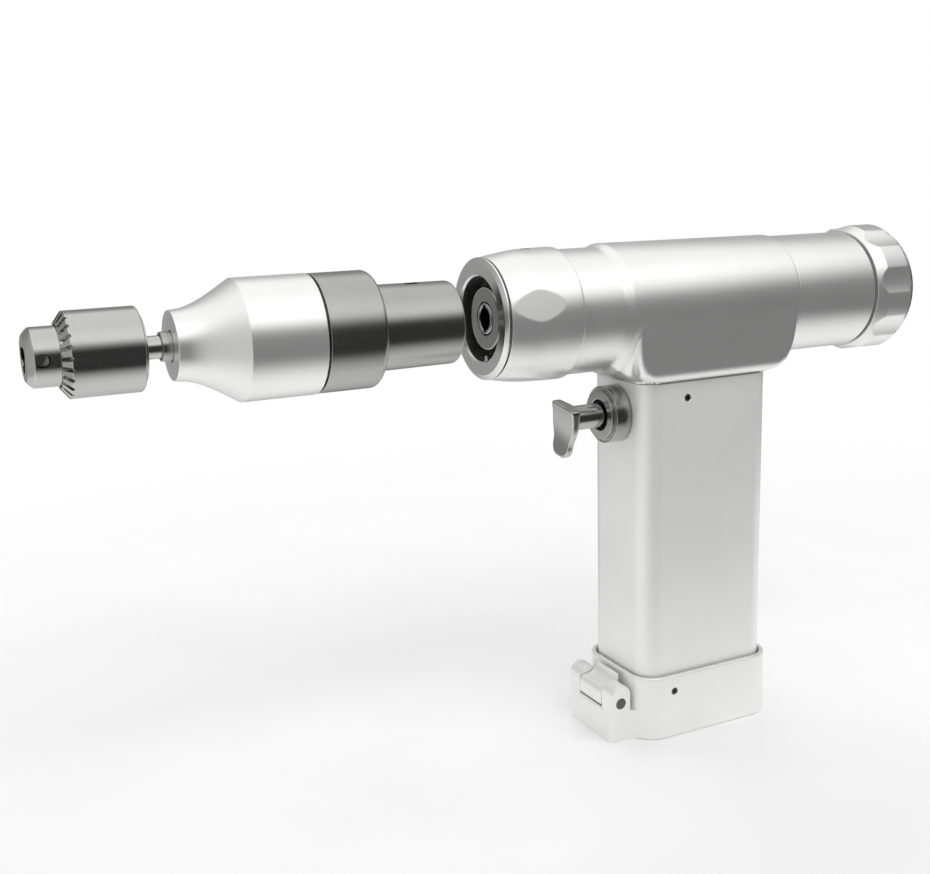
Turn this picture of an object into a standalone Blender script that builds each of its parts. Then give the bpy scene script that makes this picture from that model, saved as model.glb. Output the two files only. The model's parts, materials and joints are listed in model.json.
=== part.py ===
"""A cannulated surgical power drill that stands on its battery cap, with a keyed drill
chuck attachment drawn out on the barrel's axis in front of its coupling.

Run it in Blender 4.5. Lengths are metres. The origin is on the floor under the middle
of the handle, +Z is up and the coupling faces -X.
"""

import math

import bmesh
import bpy
from mathutils import Matrix, Vector

# Clearances
SEAT = 0.0003
RUN = 0.0005
COUPLING_FIT = 0.00035

# Where the barrel lies
AXIS_HEIGHT = 0.1673
FACE_TO_HANDLE = 0.0873

# Coupling at the nose, with the stations measured back from its front face
FACE_RADIUS = 0.0200
NOSE_RADIUS = 0.0219
NOSE_THICKNESS = 0.0019
NOSE_THREAD_LENGTH = 0.0053
NOSE_THREAD_WALL = 0.0017
MOUTH_CHAMFER = 0.0006
STUB_RADIUS = 0.01475
STUB_LENGTH = 0.0305
STUB_WALL = 0.00315
STUB_TIP_TAPER = 0.00055
COUPLING_DEPTH = STUB_LENGTH + 0.0025
HUB_RECESS = 0.0026
HUB_FLANGE = 0.0042
SPINDLE_RADIUS = 0.0055
BEARING_WALL = 0.0031
BEARING_LENGTH = 0.0056
DRIVER_RADIUS = 0.0037
DRIVE_KEY_HEIGHT = 0.0008
DRIVE_KEY_WIDTH = 0.0013
DRIVE_KEY_LENGTH = 0.0140
INDEX_KEY_HEIGHT = 0.0018
INDEX_KEY_WIDTH = 0.0030

# Locking ring and the dog that it drives
SLEEVE_RADIUS = 0.0189
LOCK_LENGTH = 0.0277
LOCK_FRONT_RADIUS = 0.0221
LOCK_CROWN_RADIUS = 0.0240
LOCK_REAR_RADIUS = 0.0233
LOCK_FLAT_DEPTH = 0.0007
LOCK_FLATS = 6
LOCK_TURN = math.radians(30.0)
DOG_LENGTH = 0.00475
DOG_WIDTH = 0.0048
DOG_TRAVEL = 0.0020
DOG_BEHIND_FACE = 0.0154
PLUG_RADIUS = 0.0022
PLUG_DEPTH = 0.0010
PLUG_RECESS = 0.0005

# Barrel
NECK_RADIUS = 0.0229
SHOULDER_START = 0.0470
SHOULDER_LENGTH = 0.0040
BODY_FRONT_RADIUS = 0.0242
BODY_REAR_RADIUS = 0.02375
BODY_END = 0.1263
MOTOR_BORE = 0.0209
REAR_RADIUS = 0.02305
REAR_END = 0.1652
REAR_WALL = 0.00265
REAR_PLATE = 0.0042
SPIGOT_LENGTH = 0.0083
SPIGOT_WALL = 0.0020

# Saddle that carries the barrel on the handle
SADDLE_DROP = 0.0269
SADDLE_LIP = 0.0004
SADDLE_NOSE_REACH = 0.0050
SADDLE_FILLET = 0.0090
TENON_DEPTH = 0.0090
TENON_FRONT = 0.0130
WIRE_HOLE_RADIUS = 0.0045

# Mode ring and rear cap
MODE_FRONT_RADIUS = 0.0236
MODE_RADIUS = 0.0255
MODE_REAR_RADIUS = 0.0243
MODE_CONE_LENGTH = 0.0045
MODE_LENGTH = 0.0175
MODE_CHAMFER = 0.0020
MODE_FLATS = 8
JOURNAL_RADIUS = 0.0180
JOURNAL_BORE = 0.0120
CAP_DISC_RADIUS = 0.0182
CAP_RIM_RADIUS = 0.0237
CAP_DISC_RISE = 0.0032
INDEX_HOLE_RADIUS = 0.0011

# Motor, gears and the tube for a guide wire
CANNULA_BORE = 0.0020
CANNULA_WALL = 0.0005
SHAFT_RADIUS = 0.0047
ROTOR_RADIUS = 0.0118
AIR_GAP = 0.0006
STATOR_LENGTH = 0.0370
WINDING_LENGTH = 0.0040
MOTOR_PLATE = 0.0062
GEAR_MODULE = 0.00078
SUN_TEETH = 15
PLANET_TEETH = 15
PLANETS = 3
GEAR_WIDTH = 0.0080
GEAR_BACKLASH = 0.0003
CARRIER_THICKNESS = 0.0026
PLANET_PIN_RADIUS = 0.0015

# Handle
HANDLE_HALF_DEPTH = 0.02915
HANDLE_HALF_WIDTH = 0.0196
HANDLE_CORNER = 0.0080
HANDLE_WALL = 0.0020
SCREW_RADIUS = 0.00125
HANDLE_SCREW_X = -0.0103
HANDLE_SCREW_DROP = 0.0065

# Trigger
TRIGGER_DROP = 0.0402
TRIGGER_TRAVEL = 0.0080
STEM_RADIUS = 0.00465
GUIDE_RADIUS = 0.0109
GUIDE_LENGTH = 0.0065
GUIDE_LIP_RADIUS = 0.0095
GUIDE_LIP_LENGTH = 0.0013
GUIDE_BORE = 0.0059
GUIDE_BODY_RADIUS = 0.0080
GUIDE_TAIL = 0.0060
PLATE_GAP = 0.0130
PLATE_THICKNESS = 0.0030
PLATE_ABOVE = 0.0090
PLATE_BELOW = 0.0145
PLATE_WIDTH = 0.0140
PLATE_HOLLOW = 0.0016
SWITCH_HALF_WIDTH = 0.0110
SWITCH_HEIGHT = 0.0150
SWITCH_LENGTH = 0.0180

# Battery and its cap
CAP_HEIGHT = 0.0254
CAP_WALL = 0.0017
CAP_GAP = 0.0010
CAP_SOCKET = 0.0087
CAP_FLOOR = 0.0060
CAP_SCREW_X = -0.0170
CAP_SCREW_HEIGHT = 0.0190
BATTERY_ROOM = 0.0027
BATTERY_CORNER = 0.0055
TRAY_CLEARANCE = 0.0008
CONTACT_BLOCK = 0.0060
CONTACT_PAD = 0.0012
CONTACT_STRIP = 0.0006
CONTACT_TRAVEL = 0.0015
PAD_LENGTH = 0.0060
PAD_WIDTH = 0.0100
PAD_PITCH = 0.0120
WIRING_ROOM = 0.0125

# Latch at the front of the cap
LATCH_REACH = 0.0100
LATCH_HALF_WIDTH = 0.0154
LATCH_BLOCK_HEIGHT = 0.0110
EAR_WIDTH = 0.0071
EAR_RADIUS = 0.0046
PIN_RADIUS = 0.0020
PIN_HEIGHT = 0.0156
PIN_FROM_WALL = 0.0055
LATCH_FILLET = 0.0040
LEVER_SLOT = 0.0012
HOOK_HEIGHT = 0.0045
HOOK_THICKNESS = 0.0016
HOOK_HALF_WIDTH = 0.0050
HOOK_BITE = 0.0007

# Attachment
REST_GAP = 0.0080
PILOT_RADIUS = 0.0024
PILOT_LENGTH = 0.0035
COLLAR_RADIUS = 0.0200
COLLAR_LENGTH = 0.0208
COLLAR_ROUND = 0.0020
HOUSING_RADIUS = 0.02015
HOUSING_LENGTH = 0.0255
CONE_LENGTH = 0.0208
CONE_FRONT_RADIUS = 0.0115
CONE_LAND = 0.0020
HOUSING_WALL = 0.0035
BUSH_RADIUS = 0.00475
BUSH_LENGTH = 0.0033
SHAFT_SHOWN = 0.0057
SHAFT_BORE = 0.0013
SLOT_LENGTH = 0.00505
SLOT_WIDTH = 0.0054

# Keyed chuck
CHUCK_NOSE_RADIUS = 0.0093
CHUCK_NOSE_LENGTH = 0.0094
CHUCK_SLEEVE_RADIUS = 0.0135
CHUCK_SLEEVE_LENGTH = 0.0244
CHUCK_SLEEVE_WALL = 0.0013
CHUCK_LIP_RADIUS = 0.01105
CHUCK_LIP_LENGTH = 0.0010
CHUCK_MOUTH_RADIUS = 0.0034
CHUCK_CORE_RADIUS = 0.0089
KEY_TEETH = 24
KEY_TOOTH_DEPTH = 0.0014
KEY_BEVEL = 0.0025
KEY_HOLE_RADIUS = 0.00185
KEY_HOLE_STATION = 0.0044
JAWS = 3
JAW_RADIUS = 0.0020
JAW_ANGLE = math.radians(14.0)
JAW_START_RADIUS = 0.00235
JAW_LENGTH = 0.0200
JAW_TRAVEL = 0.0115
JAW_TIP_PROUD = 0.0015
NUT_START = 0.0132
NUT_LENGTH = 0.0040

# Sides of the turned pieces
SIDES = 28
INNER_SIDES = 16
SMALL_SIDES = 16
TINY_SIDES = 12

# Stations along the barrel that follow from the sizes above
BORE_RADIUS = STUB_RADIUS + COUPLING_FIT
LOCK_START = NOSE_THICKNESS + SEAT
LOCK_END = LOCK_START + LOCK_LENGTH
HUB_RADIUS = STUB_RADIUS - STUB_WALL - 0.0004
SOCKET_BORE = DRIVER_RADIUS + 0.0004
INNER_RADIUS = MOTOR_BORE - SEAT
HUB_FLANGE_START = COUPLING_DEPTH + SEAT
HUB_END = HUB_FLANGE_START + HUB_FLANGE
CARRIER_START = HUB_END + RUN
CARRIER_END = CARRIER_START + CARRIER_THICKNESS
GEARS_START = CARRIER_END + RUN
GEARS_END = GEARS_START + GEAR_WIDTH
RING_END = GEARS_END + 0.0012
FRONT_PLATE_START = RING_END + SEAT
FRONT_PLATE_END = FRONT_PLATE_START + MOTOR_PLATE
WINDING_START = FRONT_PLATE_END + SEAT
STATOR_START = WINDING_START + WINDING_LENGTH + SEAT
STATOR_END = STATOR_START + STATOR_LENGTH
WINDING_END = STATOR_END + SEAT + WINDING_LENGTH
REAR_PLATE_START = WINDING_END + SEAT
REAR_PLATE_END = REAR_PLATE_START + MOTOR_PLATE
BOARD_START = REAR_PLATE_END + SEAT
MOTOR_SHAFT_END = BOARD_START + 0.0010
SUN_RADIUS = GEAR_MODULE * SUN_TEETH / 2
PLANET_RADIUS = GEAR_MODULE * PLANET_TEETH / 2
RING_TEETH = SUN_TEETH + 2 * PLANET_TEETH
PLANET_ORBIT = SUN_RADIUS + PLANET_RADIUS
CANNULA_RADIUS = CANNULA_BORE + CANNULA_WALL
SHAFT_HOLE = CANNULA_RADIUS + RUN
MODE_START = REAR_END + SEAT
MODE_END = MODE_START + MODE_LENGTH
JOURNAL_END = MODE_END - 0.0025
CAP_START = MODE_END + SEAT
CAP_END = CAP_START + CAP_DISC_RISE

# Heights of the handle
SADDLE_BOTTOM = AXIS_HEIGHT - SADDLE_DROP
HANDLE_TOP = SADDLE_BOTTOM - SEAT
HANDLE_BOTTOM = CAP_HEIGHT - CAP_SOCKET + SEAT
TRIGGER_HEIGHT = AXIS_HEIGHT - TRIGGER_DROP
TENON_BOTTOM = SADDLE_BOTTOM - TENON_DEPTH
SWITCH_TOP = TENON_BOTTOM - SEAT
SWITCH_BOTTOM = SWITCH_TOP - SWITCH_HEIGHT
BLOCK_BOTTOM = SWITCH_BOTTOM - WIRING_ROOM - CONTACT_BLOCK
PADS_TOP = BLOCK_BOTTOM - CONTACT_TRAVEL - SEAT
BATTERY_TOP = PADS_TOP - CONTACT_PAD - SEAT

# Plan of the battery pack, which stands clear of the handle all round
BATTERY_HALF_DEPTH = HANDLE_HALF_DEPTH - HANDLE_WALL - BATTERY_ROOM
BATTERY_HALF_WIDTH = HANDLE_HALF_WIDTH - HANDLE_WALL - BATTERY_ROOM

# Stations along the attachment, measured back from the front of its chuck
SLEEVE_START = CHUCK_NOSE_LENGTH + SEAT
SLEEVE_END = SLEEVE_START + CHUCK_SLEEVE_LENGTH
LIP_END = SLEEVE_END + CHUCK_LIP_LENGTH
BUSH_START = LIP_END + SHAFT_SHOWN
CONE_START = BUSH_START + BUSH_LENGTH
CONE_END = CONE_START + CONE_LENGTH
HOUSING_END = CONE_END + HOUSING_LENGTH
COLLAR_START = HOUSING_END + SEAT
SHOULDER = HOUSING_END + COLLAR_LENGTH
STUB_END = SHOULDER + STUB_LENGTH
PILOT_END = STUB_END + PILOT_LENGTH
ATTACHMENT_START = -REST_GAP - PILOT_END


def clear_scene():
    for thing in list(bpy.data.objects):
        bpy.data.objects.remove(thing, do_unlink=True)


def finish(name, colour, roughness, metallic):
    """A surface finish."""
    material = bpy.data.materials.new(name)
    material.use_nodes = True
    shader = material.node_tree.nodes["Principled BSDF"]
    shader.inputs["Base Color"].default_value = (*colour, 1.0)
    shader.inputs["Roughness"].default_value = roughness
    shader.inputs["Metallic"].default_value = metallic
    return material


def frame_at(name, location, parent=None):
    """An empty that places the pieces made round it."""
    empty = bpy.data.objects.new(name, None)
    empty.location = location
    empty.parent = parent
    bpy.context.scene.collection.objects.link(empty)
    return empty


def piece(name, mesh, material=None, parent=None, location=(0, 0, 0), turn=None):
    """One sub-part from its mesh."""
    mesh.shade_smooth()
    mesh.set_sharp_from_angle(angle=math.radians(28))
    thing = bpy.data.objects.new(name, mesh)
    thing.parent = parent
    thing.location = location
    if turn is not None:
        thing.rotation_euler = turn
    if material is not None:
        mesh.materials.append(material)
    bpy.context.scene.collection.objects.link(thing)
    return thing


def boolean(target, tool, operation):
    modifier = target.modifiers.new(tool.name, "BOOLEAN")
    modifier.operation = operation
    modifier.object = tool
    tool.hide_render = True
    tool.display_type = "WIRE"


def cut(target, *tools):
    for tool in tools:
        boolean(target, tool, "DIFFERENCE")


def join(target, *tools):
    for tool in tools:
        boolean(target, tool, "UNION")


def closed_mesh(name, bm):
    """Turns a bmesh into a mesh with merged points and its faces outwards."""
    bmesh.ops.remove_doubles(bm, verts=bm.verts, dist=1e-6)
    bmesh.ops.recalc_face_normals(bm, faces=bm.faces)
    mesh = bpy.data.meshes.new(name)
    bm.to_mesh(mesh)
    bm.free()
    return mesh


def turned(name, outline, sides=SIDES):
    """A lathe piece round local X. The outline is a loop of (station, radius) points, or an
    open run of them where both its ends lie on the axis."""
    bm = bmesh.new()
    verts = [bm.verts.new((station, 0, radius)) for station, radius in outline]
    pairs = list(zip(verts, verts[1:]))
    if outline[0][1] > 0 or outline[-1][1] > 0:
        pairs.append((verts[-1], verts[0]))
    edges = [bm.edges.new(pair) for pair in pairs]
    bmesh.ops.spin(
        bm, geom=verts + edges, cent=(0, 0, 0), axis=(1, 0, 0), angle=math.tau, steps=sides
    )
    return closed_mesh(name, bm)


def tube(name, start, end, outer, inner, sides=SIDES, edge=0.0):
    """A plain sleeve, with its outer edges broken where edge is given."""
    if edge:
        outline = [(start, inner), (start, outer - edge), (start + edge, outer)]
        outline += [(end - edge, outer), (end, outer - edge), (end, inner)]
    else:
        outline = [(start, inner), (start, outer), (end, outer), (end, inner)]
    return turned(name, outline, sides)


def rod(name, start, end, radius, sides=SMALL_SIDES):
    return turned(name, [(start, 0), (start, radius), (end, radius), (end, 0)], sides)


def extruded(name, outline, start, end, axis="Z"):
    """A closed flat outline carried from start to end along an axis. Its points are (x, y)
    along Z, (x, z) along Y and (y, z) along X."""
    place = {
        "X": lambda p, q, d: (d, p, q),
        "Y": lambda p, q, d: (p, d, q),
        "Z": lambda p, q, d: (p, q, d),
    }[axis]
    bm = bmesh.new()
    face = bm.faces.new([bm.verts.new(place(p, q, start)) for p, q in outline])
    made = bmesh.ops.extrude_face_region(bm, geom=[face])["geom"]
    moved = [item for item in made if isinstance(item, bmesh.types.BMVert)]
    bmesh.ops.translate(bm, verts=moved, vec=Vector(place(0, 0, end - start)))
    return closed_mesh(name, bm)


def rectangle(x0, x1, y0, y1):
    return [(x0, y0), (x1, y0), (x1, y1), (x0, y1)]


def rounded_rectangle(half_x, half_y, radius, steps=5):
    """Points round a rectangle with round corners, from the +X +Y corner on."""
    points = []
    for corner, (sx, sy) in enumerate(((1, 1), (-1, 1), (-1, -1), (1, -1))):
        for step in range(steps + 1):
            angle = math.pi / 2 * (corner + step / steps)
            x = sx * (half_x - radius) + radius * math.cos(angle)
            y = sy * (half_y - radius) + radius * math.sin(angle)
            points.append((x, y))
    return points


def box(name, low, high):
    return extruded(name, rectangle(low[0], high[0], low[1], high[1]), low[2], high[2])


def lofted(name, sections):
    """A closed skin over a stack of outlines that have equally many points."""
    bm = bmesh.new()
    rings = [[bm.verts.new(point) for point in section] for section in sections]
    for lower, upper in zip(rings, rings[1:]):
        for i in range(len(lower)):
            j = (i + 1) % len(lower)
            bm.faces.new((lower[i], lower[j], upper[j], upper[i]))
    bm.faces.new(rings[0])
    bm.faces.new(list(reversed(rings[-1])))
    return closed_mesh(name, bm)


def arc(centre, radius, start, end, steps):
    """Points on an arc, with the angles in degrees."""
    points = []
    for step in range(steps + 1):
        angle = math.radians(start + (end - start) * step / steps)
        points.append((centre[0] + radius * math.cos(angle), centre[1] + radius * math.sin(angle)))
    return points


def coil(name, radius, wire, length, turns):
    """A compression spring along local X with closed round wire."""
    per_turn, wire_sides = 7, 3
    count = int(turns * per_turn)
    sections = []
    for i in range(count + 1):
        angle = math.tau * i / per_turn
        centre = Vector((length * i / count, radius * math.cos(angle), radius * math.sin(angle)))
        outward = Vector((0, math.cos(angle), math.sin(angle)))
        ring = []
        for k in range(wire_sides):
            turn = math.tau * k / wire_sides
            ring.append(centre + wire * (outward * math.cos(turn) + Vector((1, 0, 0)) * math.sin(turn)))
        sections.append(ring)
    return lofted(name, sections)


def gear_outline(teeth, pitch_radius, tip, root, thickness):
    """Points (y, z) of a toothed wheel with a tooth at the top. The thickness is measured on
    the pitch circle, and the flanks lean in by the pressure angle."""
    lean = math.tan(math.radians(20))
    points = []
    for tooth in range(teeth):
        middle = math.pi / 2 - math.tau * tooth / teeth
        for radius, side in ((root, 1), (tip, 1), (tip, -1), (root, -1)):
            half = thickness / 2 - (radius - pitch_radius) * lean
            angle = middle + side * half / radius
            points.append((radius * math.cos(angle), radius * math.sin(angle)))
    return points


def materials():
    return {
        "aluminium": finish("satin_aluminium", (0.78, 0.78, 0.78), 0.30, 1.0),
        "bright": finish("bright_aluminium", (0.85, 0.85, 0.85), 0.20, 1.0),
        "steel": finish("satin_steel", (0.42, 0.42, 0.40), 0.32, 1.0),
        "polished": finish("polished_steel", (0.55, 0.55, 0.55), 0.18, 1.0),
        "dark": finish("dark_steel", (0.10, 0.10, 0.10), 0.40, 1.0),
        "copper": finish("enamelled_copper", (0.55, 0.22, 0.08), 0.40, 1.0),
        "magnet": finish("nickel_plate", (0.60, 0.57, 0.50), 0.25, 1.0),
        "plastic": finish("black_plastic", (0.03, 0.03, 0.03), 0.50, 0.0),
        "rubber": finish("black_rubber", (0.01, 0.01, 0.01), 0.70, 0.0),
        "board": finish("circuit_board", (0.02, 0.16, 0.07), 0.45, 0.0),
        "battery": finish("battery_wrap", (0.05, 0.12, 0.30), 0.40, 0.0),
        "gold": finish("gold_contact", (0.83, 0.60, 0.22), 0.25, 1.0),
        "brass": finish("brass", (0.70, 0.52, 0.22), 0.30, 1.0),
    }


def body_radius(station):
    """The barrel's outside behind its shoulder, which narrows slightly to the rear."""
    start = SHOULDER_START + SHOULDER_LENGTH
    share = (station - start) / (BODY_END - start)
    return BODY_FRONT_RADIUS + (BODY_REAR_RADIUS - BODY_FRONT_RADIUS) * share


def lock_radius(station):
    """The crowned outside of the locking ring."""
    front = LOCK_CROWN_RADIUS - LOCK_FRONT_RADIUS
    rear = LOCK_CROWN_RADIUS - LOCK_REAR_RADIUS
    crown = LOCK_START + LOCK_LENGTH / (1 + math.sqrt(rear / front))
    if station < crown:
        return LOCK_CROWN_RADIUS - front * ((station - crown) / (crown - LOCK_START)) ** 2
    return LOCK_CROWN_RADIUS - rear * ((station - crown) / (LOCK_END - crown)) ** 2


def saddle_section(height):
    """The plan outline of the saddle at a height under the barrel's axis, as (x, y) points
    from the front middle round the +Y side. Its foot follows the handle, its sides stand
    flush with the barrel, and a round fillet at the front runs up under the neck."""
    foot = SADDLE_DROP

    def swell(small, large, top):
        share = min(1.0, (foot - height) / (foot - top))
        return small + (large - small) * math.sqrt(1 - (1 - share) ** 2)

    depth = HANDLE_HALF_DEPTH + SADDLE_LIP
    half_width = swell(HANDLE_HALF_WIDTH + SADDLE_LIP, BODY_REAR_RADIUS, foot * 0.70)
    front = FACE_TO_HANDLE - swell(depth, depth + SADDLE_NOSE_REACH, foot * 0.42)
    rear = FACE_TO_HANDLE + swell(depth, BODY_END - FACE_TO_HANDLE, foot * 0.20)
    corner = swell(HANDLE_CORNER + SADDLE_LIP, 0.0020, foot * 0.55)
    rear_corner = swell(HANDLE_CORNER + SADDLE_LIP, 0.0040, foot * 0.55)
    neck = NECK_RADIUS - 0.0001
    neck_half = math.sqrt(max(0.0, neck**2 - height**2))
    fillet = min(SADDLE_FILLET, 1.6 * max(0.0002, half_width - neck_half))

    def front_at(y):
        station = front
        if y > half_width - corner:
            inside = y - (half_width - corner)
            station += corner - math.sqrt(max(0.0, corner**2 - inside**2))
        off_neck = math.hypot(y, height) - neck
        if off_neck <= 0:
            return station - fillet
        if off_neck < fillet:
            return station - fillet + math.sqrt(fillet**2 - (fillet - off_neck) ** 2)
        return station

    steps = 8
    shares = [math.sin(math.pi / 2 * i / steps) for i in range(steps + 1)]
    half = [(front_at(half_width * share), half_width * share) for share in shares]
    half += arc((rear - rear_corner, half_width - rear_corner), rear_corner, 90, 0, 4)
    other = [(x, -y) for x, y in reversed(half) if y > 0]
    return half + other


def make_saddle(parent):
    foot = SADDLE_DROP
    shares = (1.0, 0.985, 0.94, 0.86, 0.75, 0.62, 0.48, 0.34, 0.20, 0.05)
    sections = []
    for share in shares:
        height = foot * share
        sections.append([(x, y, -height) for x, y in saddle_section(height)])
    return piece("saddle", lofted("saddle", sections), parent=parent)


def make_main_body(barrel, finishes):
    """Neck, barrel, saddle and the tenon that the handle is screwed to, in one casting."""
    neck_start = LOCK_END + RUN
    sleeve_start = NOSE_THICKNESS + SEAT
    outline = [(sleeve_start, 0), (sleeve_start, SLEEVE_RADIUS), (neck_start, SLEEVE_RADIUS)]
    outline += [(neck_start, NECK_RADIUS - 0.0003), (neck_start + 0.0003, NECK_RADIUS)]
    for step in range(5):
        share = step / 4
        rise = (1 - math.cos(math.pi * share)) / 2
        radius = NECK_RADIUS + (BODY_FRONT_RADIUS - NECK_RADIUS) * rise
        outline.append((SHOULDER_START + SHOULDER_LENGTH * share, radius))
    outline += [(BODY_END - 0.0003, BODY_REAR_RADIUS), (BODY_END, BODY_REAR_RADIUS - 0.0003)]
    outline += [(BODY_END, 0)]
    body = piece("main_body", turned("main_body", outline), finishes["aluminium"], barrel)

    tenon_half = HANDLE_HALF_WIDTH - HANDLE_WALL - SEAT
    tenon_rear = HANDLE_HALF_DEPTH - HANDLE_WALL - SEAT
    middle = (tenon_rear - TENON_FRONT) / 2
    half = (tenon_rear + TENON_FRONT) / 2
    radius = HANDLE_CORNER - HANDLE_WALL - SEAT
    points = [(x + middle, y) for x, y in rounded_rectangle(half, tenon_half, radius)]
    tenon = piece("tenon", extruded("tenon", points, TENON_BOTTOM, SADDLE_BOTTOM + 0.003))
    join(body, make_saddle(barrel), tenon)

    bore = [(-0.001, 0), (-0.001, BORE_RADIUS), (COUPLING_DEPTH, BORE_RADIUS)]
    bore += [(COUPLING_DEPTH, MOTOR_BORE), (BODY_END + 0.001, MOTOR_BORE), (BODY_END + 0.001, 0)]
    cut(body, piece("barrel_bore", turned("barrel_bore", bore), parent=barrel))
    thread = BORE_RADIUS + NOSE_THREAD_WALL + SEAT
    seat = rod("nose_seat", 0, NOSE_THICKNESS + NOSE_THREAD_LENGTH + SEAT, thread, SIDES)
    cut(body, piece("nose_seat", seat, parent=barrel))
    dog = DOG_LENGTH / 2 + SEAT
    low = (DOG_BEHIND_FACE - dog, -DOG_WIDTH / 2 - SEAT, 0.010)
    high = (DOG_BEHIND_FACE + dog, DOG_WIDTH / 2 + SEAT, SLEEVE_RADIUS + 0.002)
    cut(body, piece("dog_window", box("dog_window", low, high), parent=barrel))
    wires = rod("wire_way", -AXIS_HEIGHT + 0.020, -TENON_BOTTOM + 0.001, WIRE_HOLE_RADIUS)
    way = piece("wire_way", wires, location=(0.012, 0, 0), turn=(0, math.pi / 2, 0))
    cut(body, way, *screw_holes("tenon", HANDLE_SCREW_X, SADDLE_BOTTOM - HANDLE_SCREW_DROP, 0.012))


def screw_holes(name, x, z, depth):
    """Cutters for the pair of set screws that face each other across the drill."""
    holes = []
    for side, label in ((-1, "near"), (1, "far")):
        mesh = rod("hole", depth, 0.040, SCREW_RADIUS + SEAT, TINY_SIDES)
        turn = (0, 0, side * math.pi / 2)
        holes.append(piece(f"{name}_hole_{label}", mesh, location=(x, 0, z), turn=turn))
    return holes


def set_screws(name, x, z, start, end, material):
    """A pair of set screws that face each other, each with a socket in its outer end."""
    socket = end - min(0.0012, (end - start) / 2)
    outline = [(start, 0), (start, SCREW_RADIUS), (end - 0.0002, SCREW_RADIUS)]
    outline += [(end, SCREW_RADIUS - 0.0002), (end, SCREW_RADIUS * 0.55)]
    outline += [(socket, SCREW_RADIUS * 0.55), (socket, 0)]
    for side, label in ((-1, "near"), (1, "far")):
        mesh = turned(f"{name}_{label}", outline, 8)
        turn = (0, 0, side * math.pi / 2)
        piece(f"{name}_{label}", mesh, material, location=(x, 0, z), turn=turn)


def make_nose(barrel, finishes):
    """The nose ring with its thread, mouth chamfer and index key, and the fixed hub."""
    end = NOSE_THICKNESS + NOSE_THREAD_LENGTH
    thread = BORE_RADIUS + NOSE_THREAD_WALL
    rim = (NOSE_RADIUS - FACE_RADIUS) * 0.62
    outline = [(MOUTH_CHAMFER, BORE_RADIUS), (0, BORE_RADIUS + MOUTH_CHAMFER), (0, FACE_RADIUS)]
    outline += [(rim, NOSE_RADIUS), (NOSE_THICKNESS, NOSE_RADIUS), (NOSE_THICKNESS, thread)]
    outline += [(end, thread), (end, BORE_RADIUS)]
    ring = piece("nose_ring", turned("nose_ring", outline), finishes["bright"], barrel)
    root = -BORE_RADIUS - NOSE_THREAD_WALL / 2
    tip = -BORE_RADIUS + INDEX_KEY_HEIGHT
    half = INDEX_KEY_WIDTH / 2
    wedge = [(-half, root), (half, root), (half * 0.35, tip), (-half * 0.35, tip)]
    key = extruded("index_key", wedge, HUB_RECESS, end - 0.001, "X")
    join(ring, piece("index_key", key, parent=barrel))

    pocket = SPINDLE_RADIUS + SEAT + BEARING_WALL + SEAT
    front = HUB_RECESS
    outline = [(front, SPINDLE_RADIUS + 0.0007), (front, HUB_RADIUS - 0.0003)]
    outline += [(front + 0.0003, HUB_RADIUS), (HUB_FLANGE_START, HUB_RADIUS)]
    outline += [(HUB_FLANGE_START, INNER_RADIUS), (HUB_END, INNER_RADIUS), (HUB_END, pocket)]
    outline += [(front + 0.0022, pocket), (front + 0.0022, SPINDLE_RADIUS + 0.0007)]
    hub = turned("coupling_hub", outline)
    piece("coupling_hub", hub, finishes["steel"], barrel)


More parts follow.
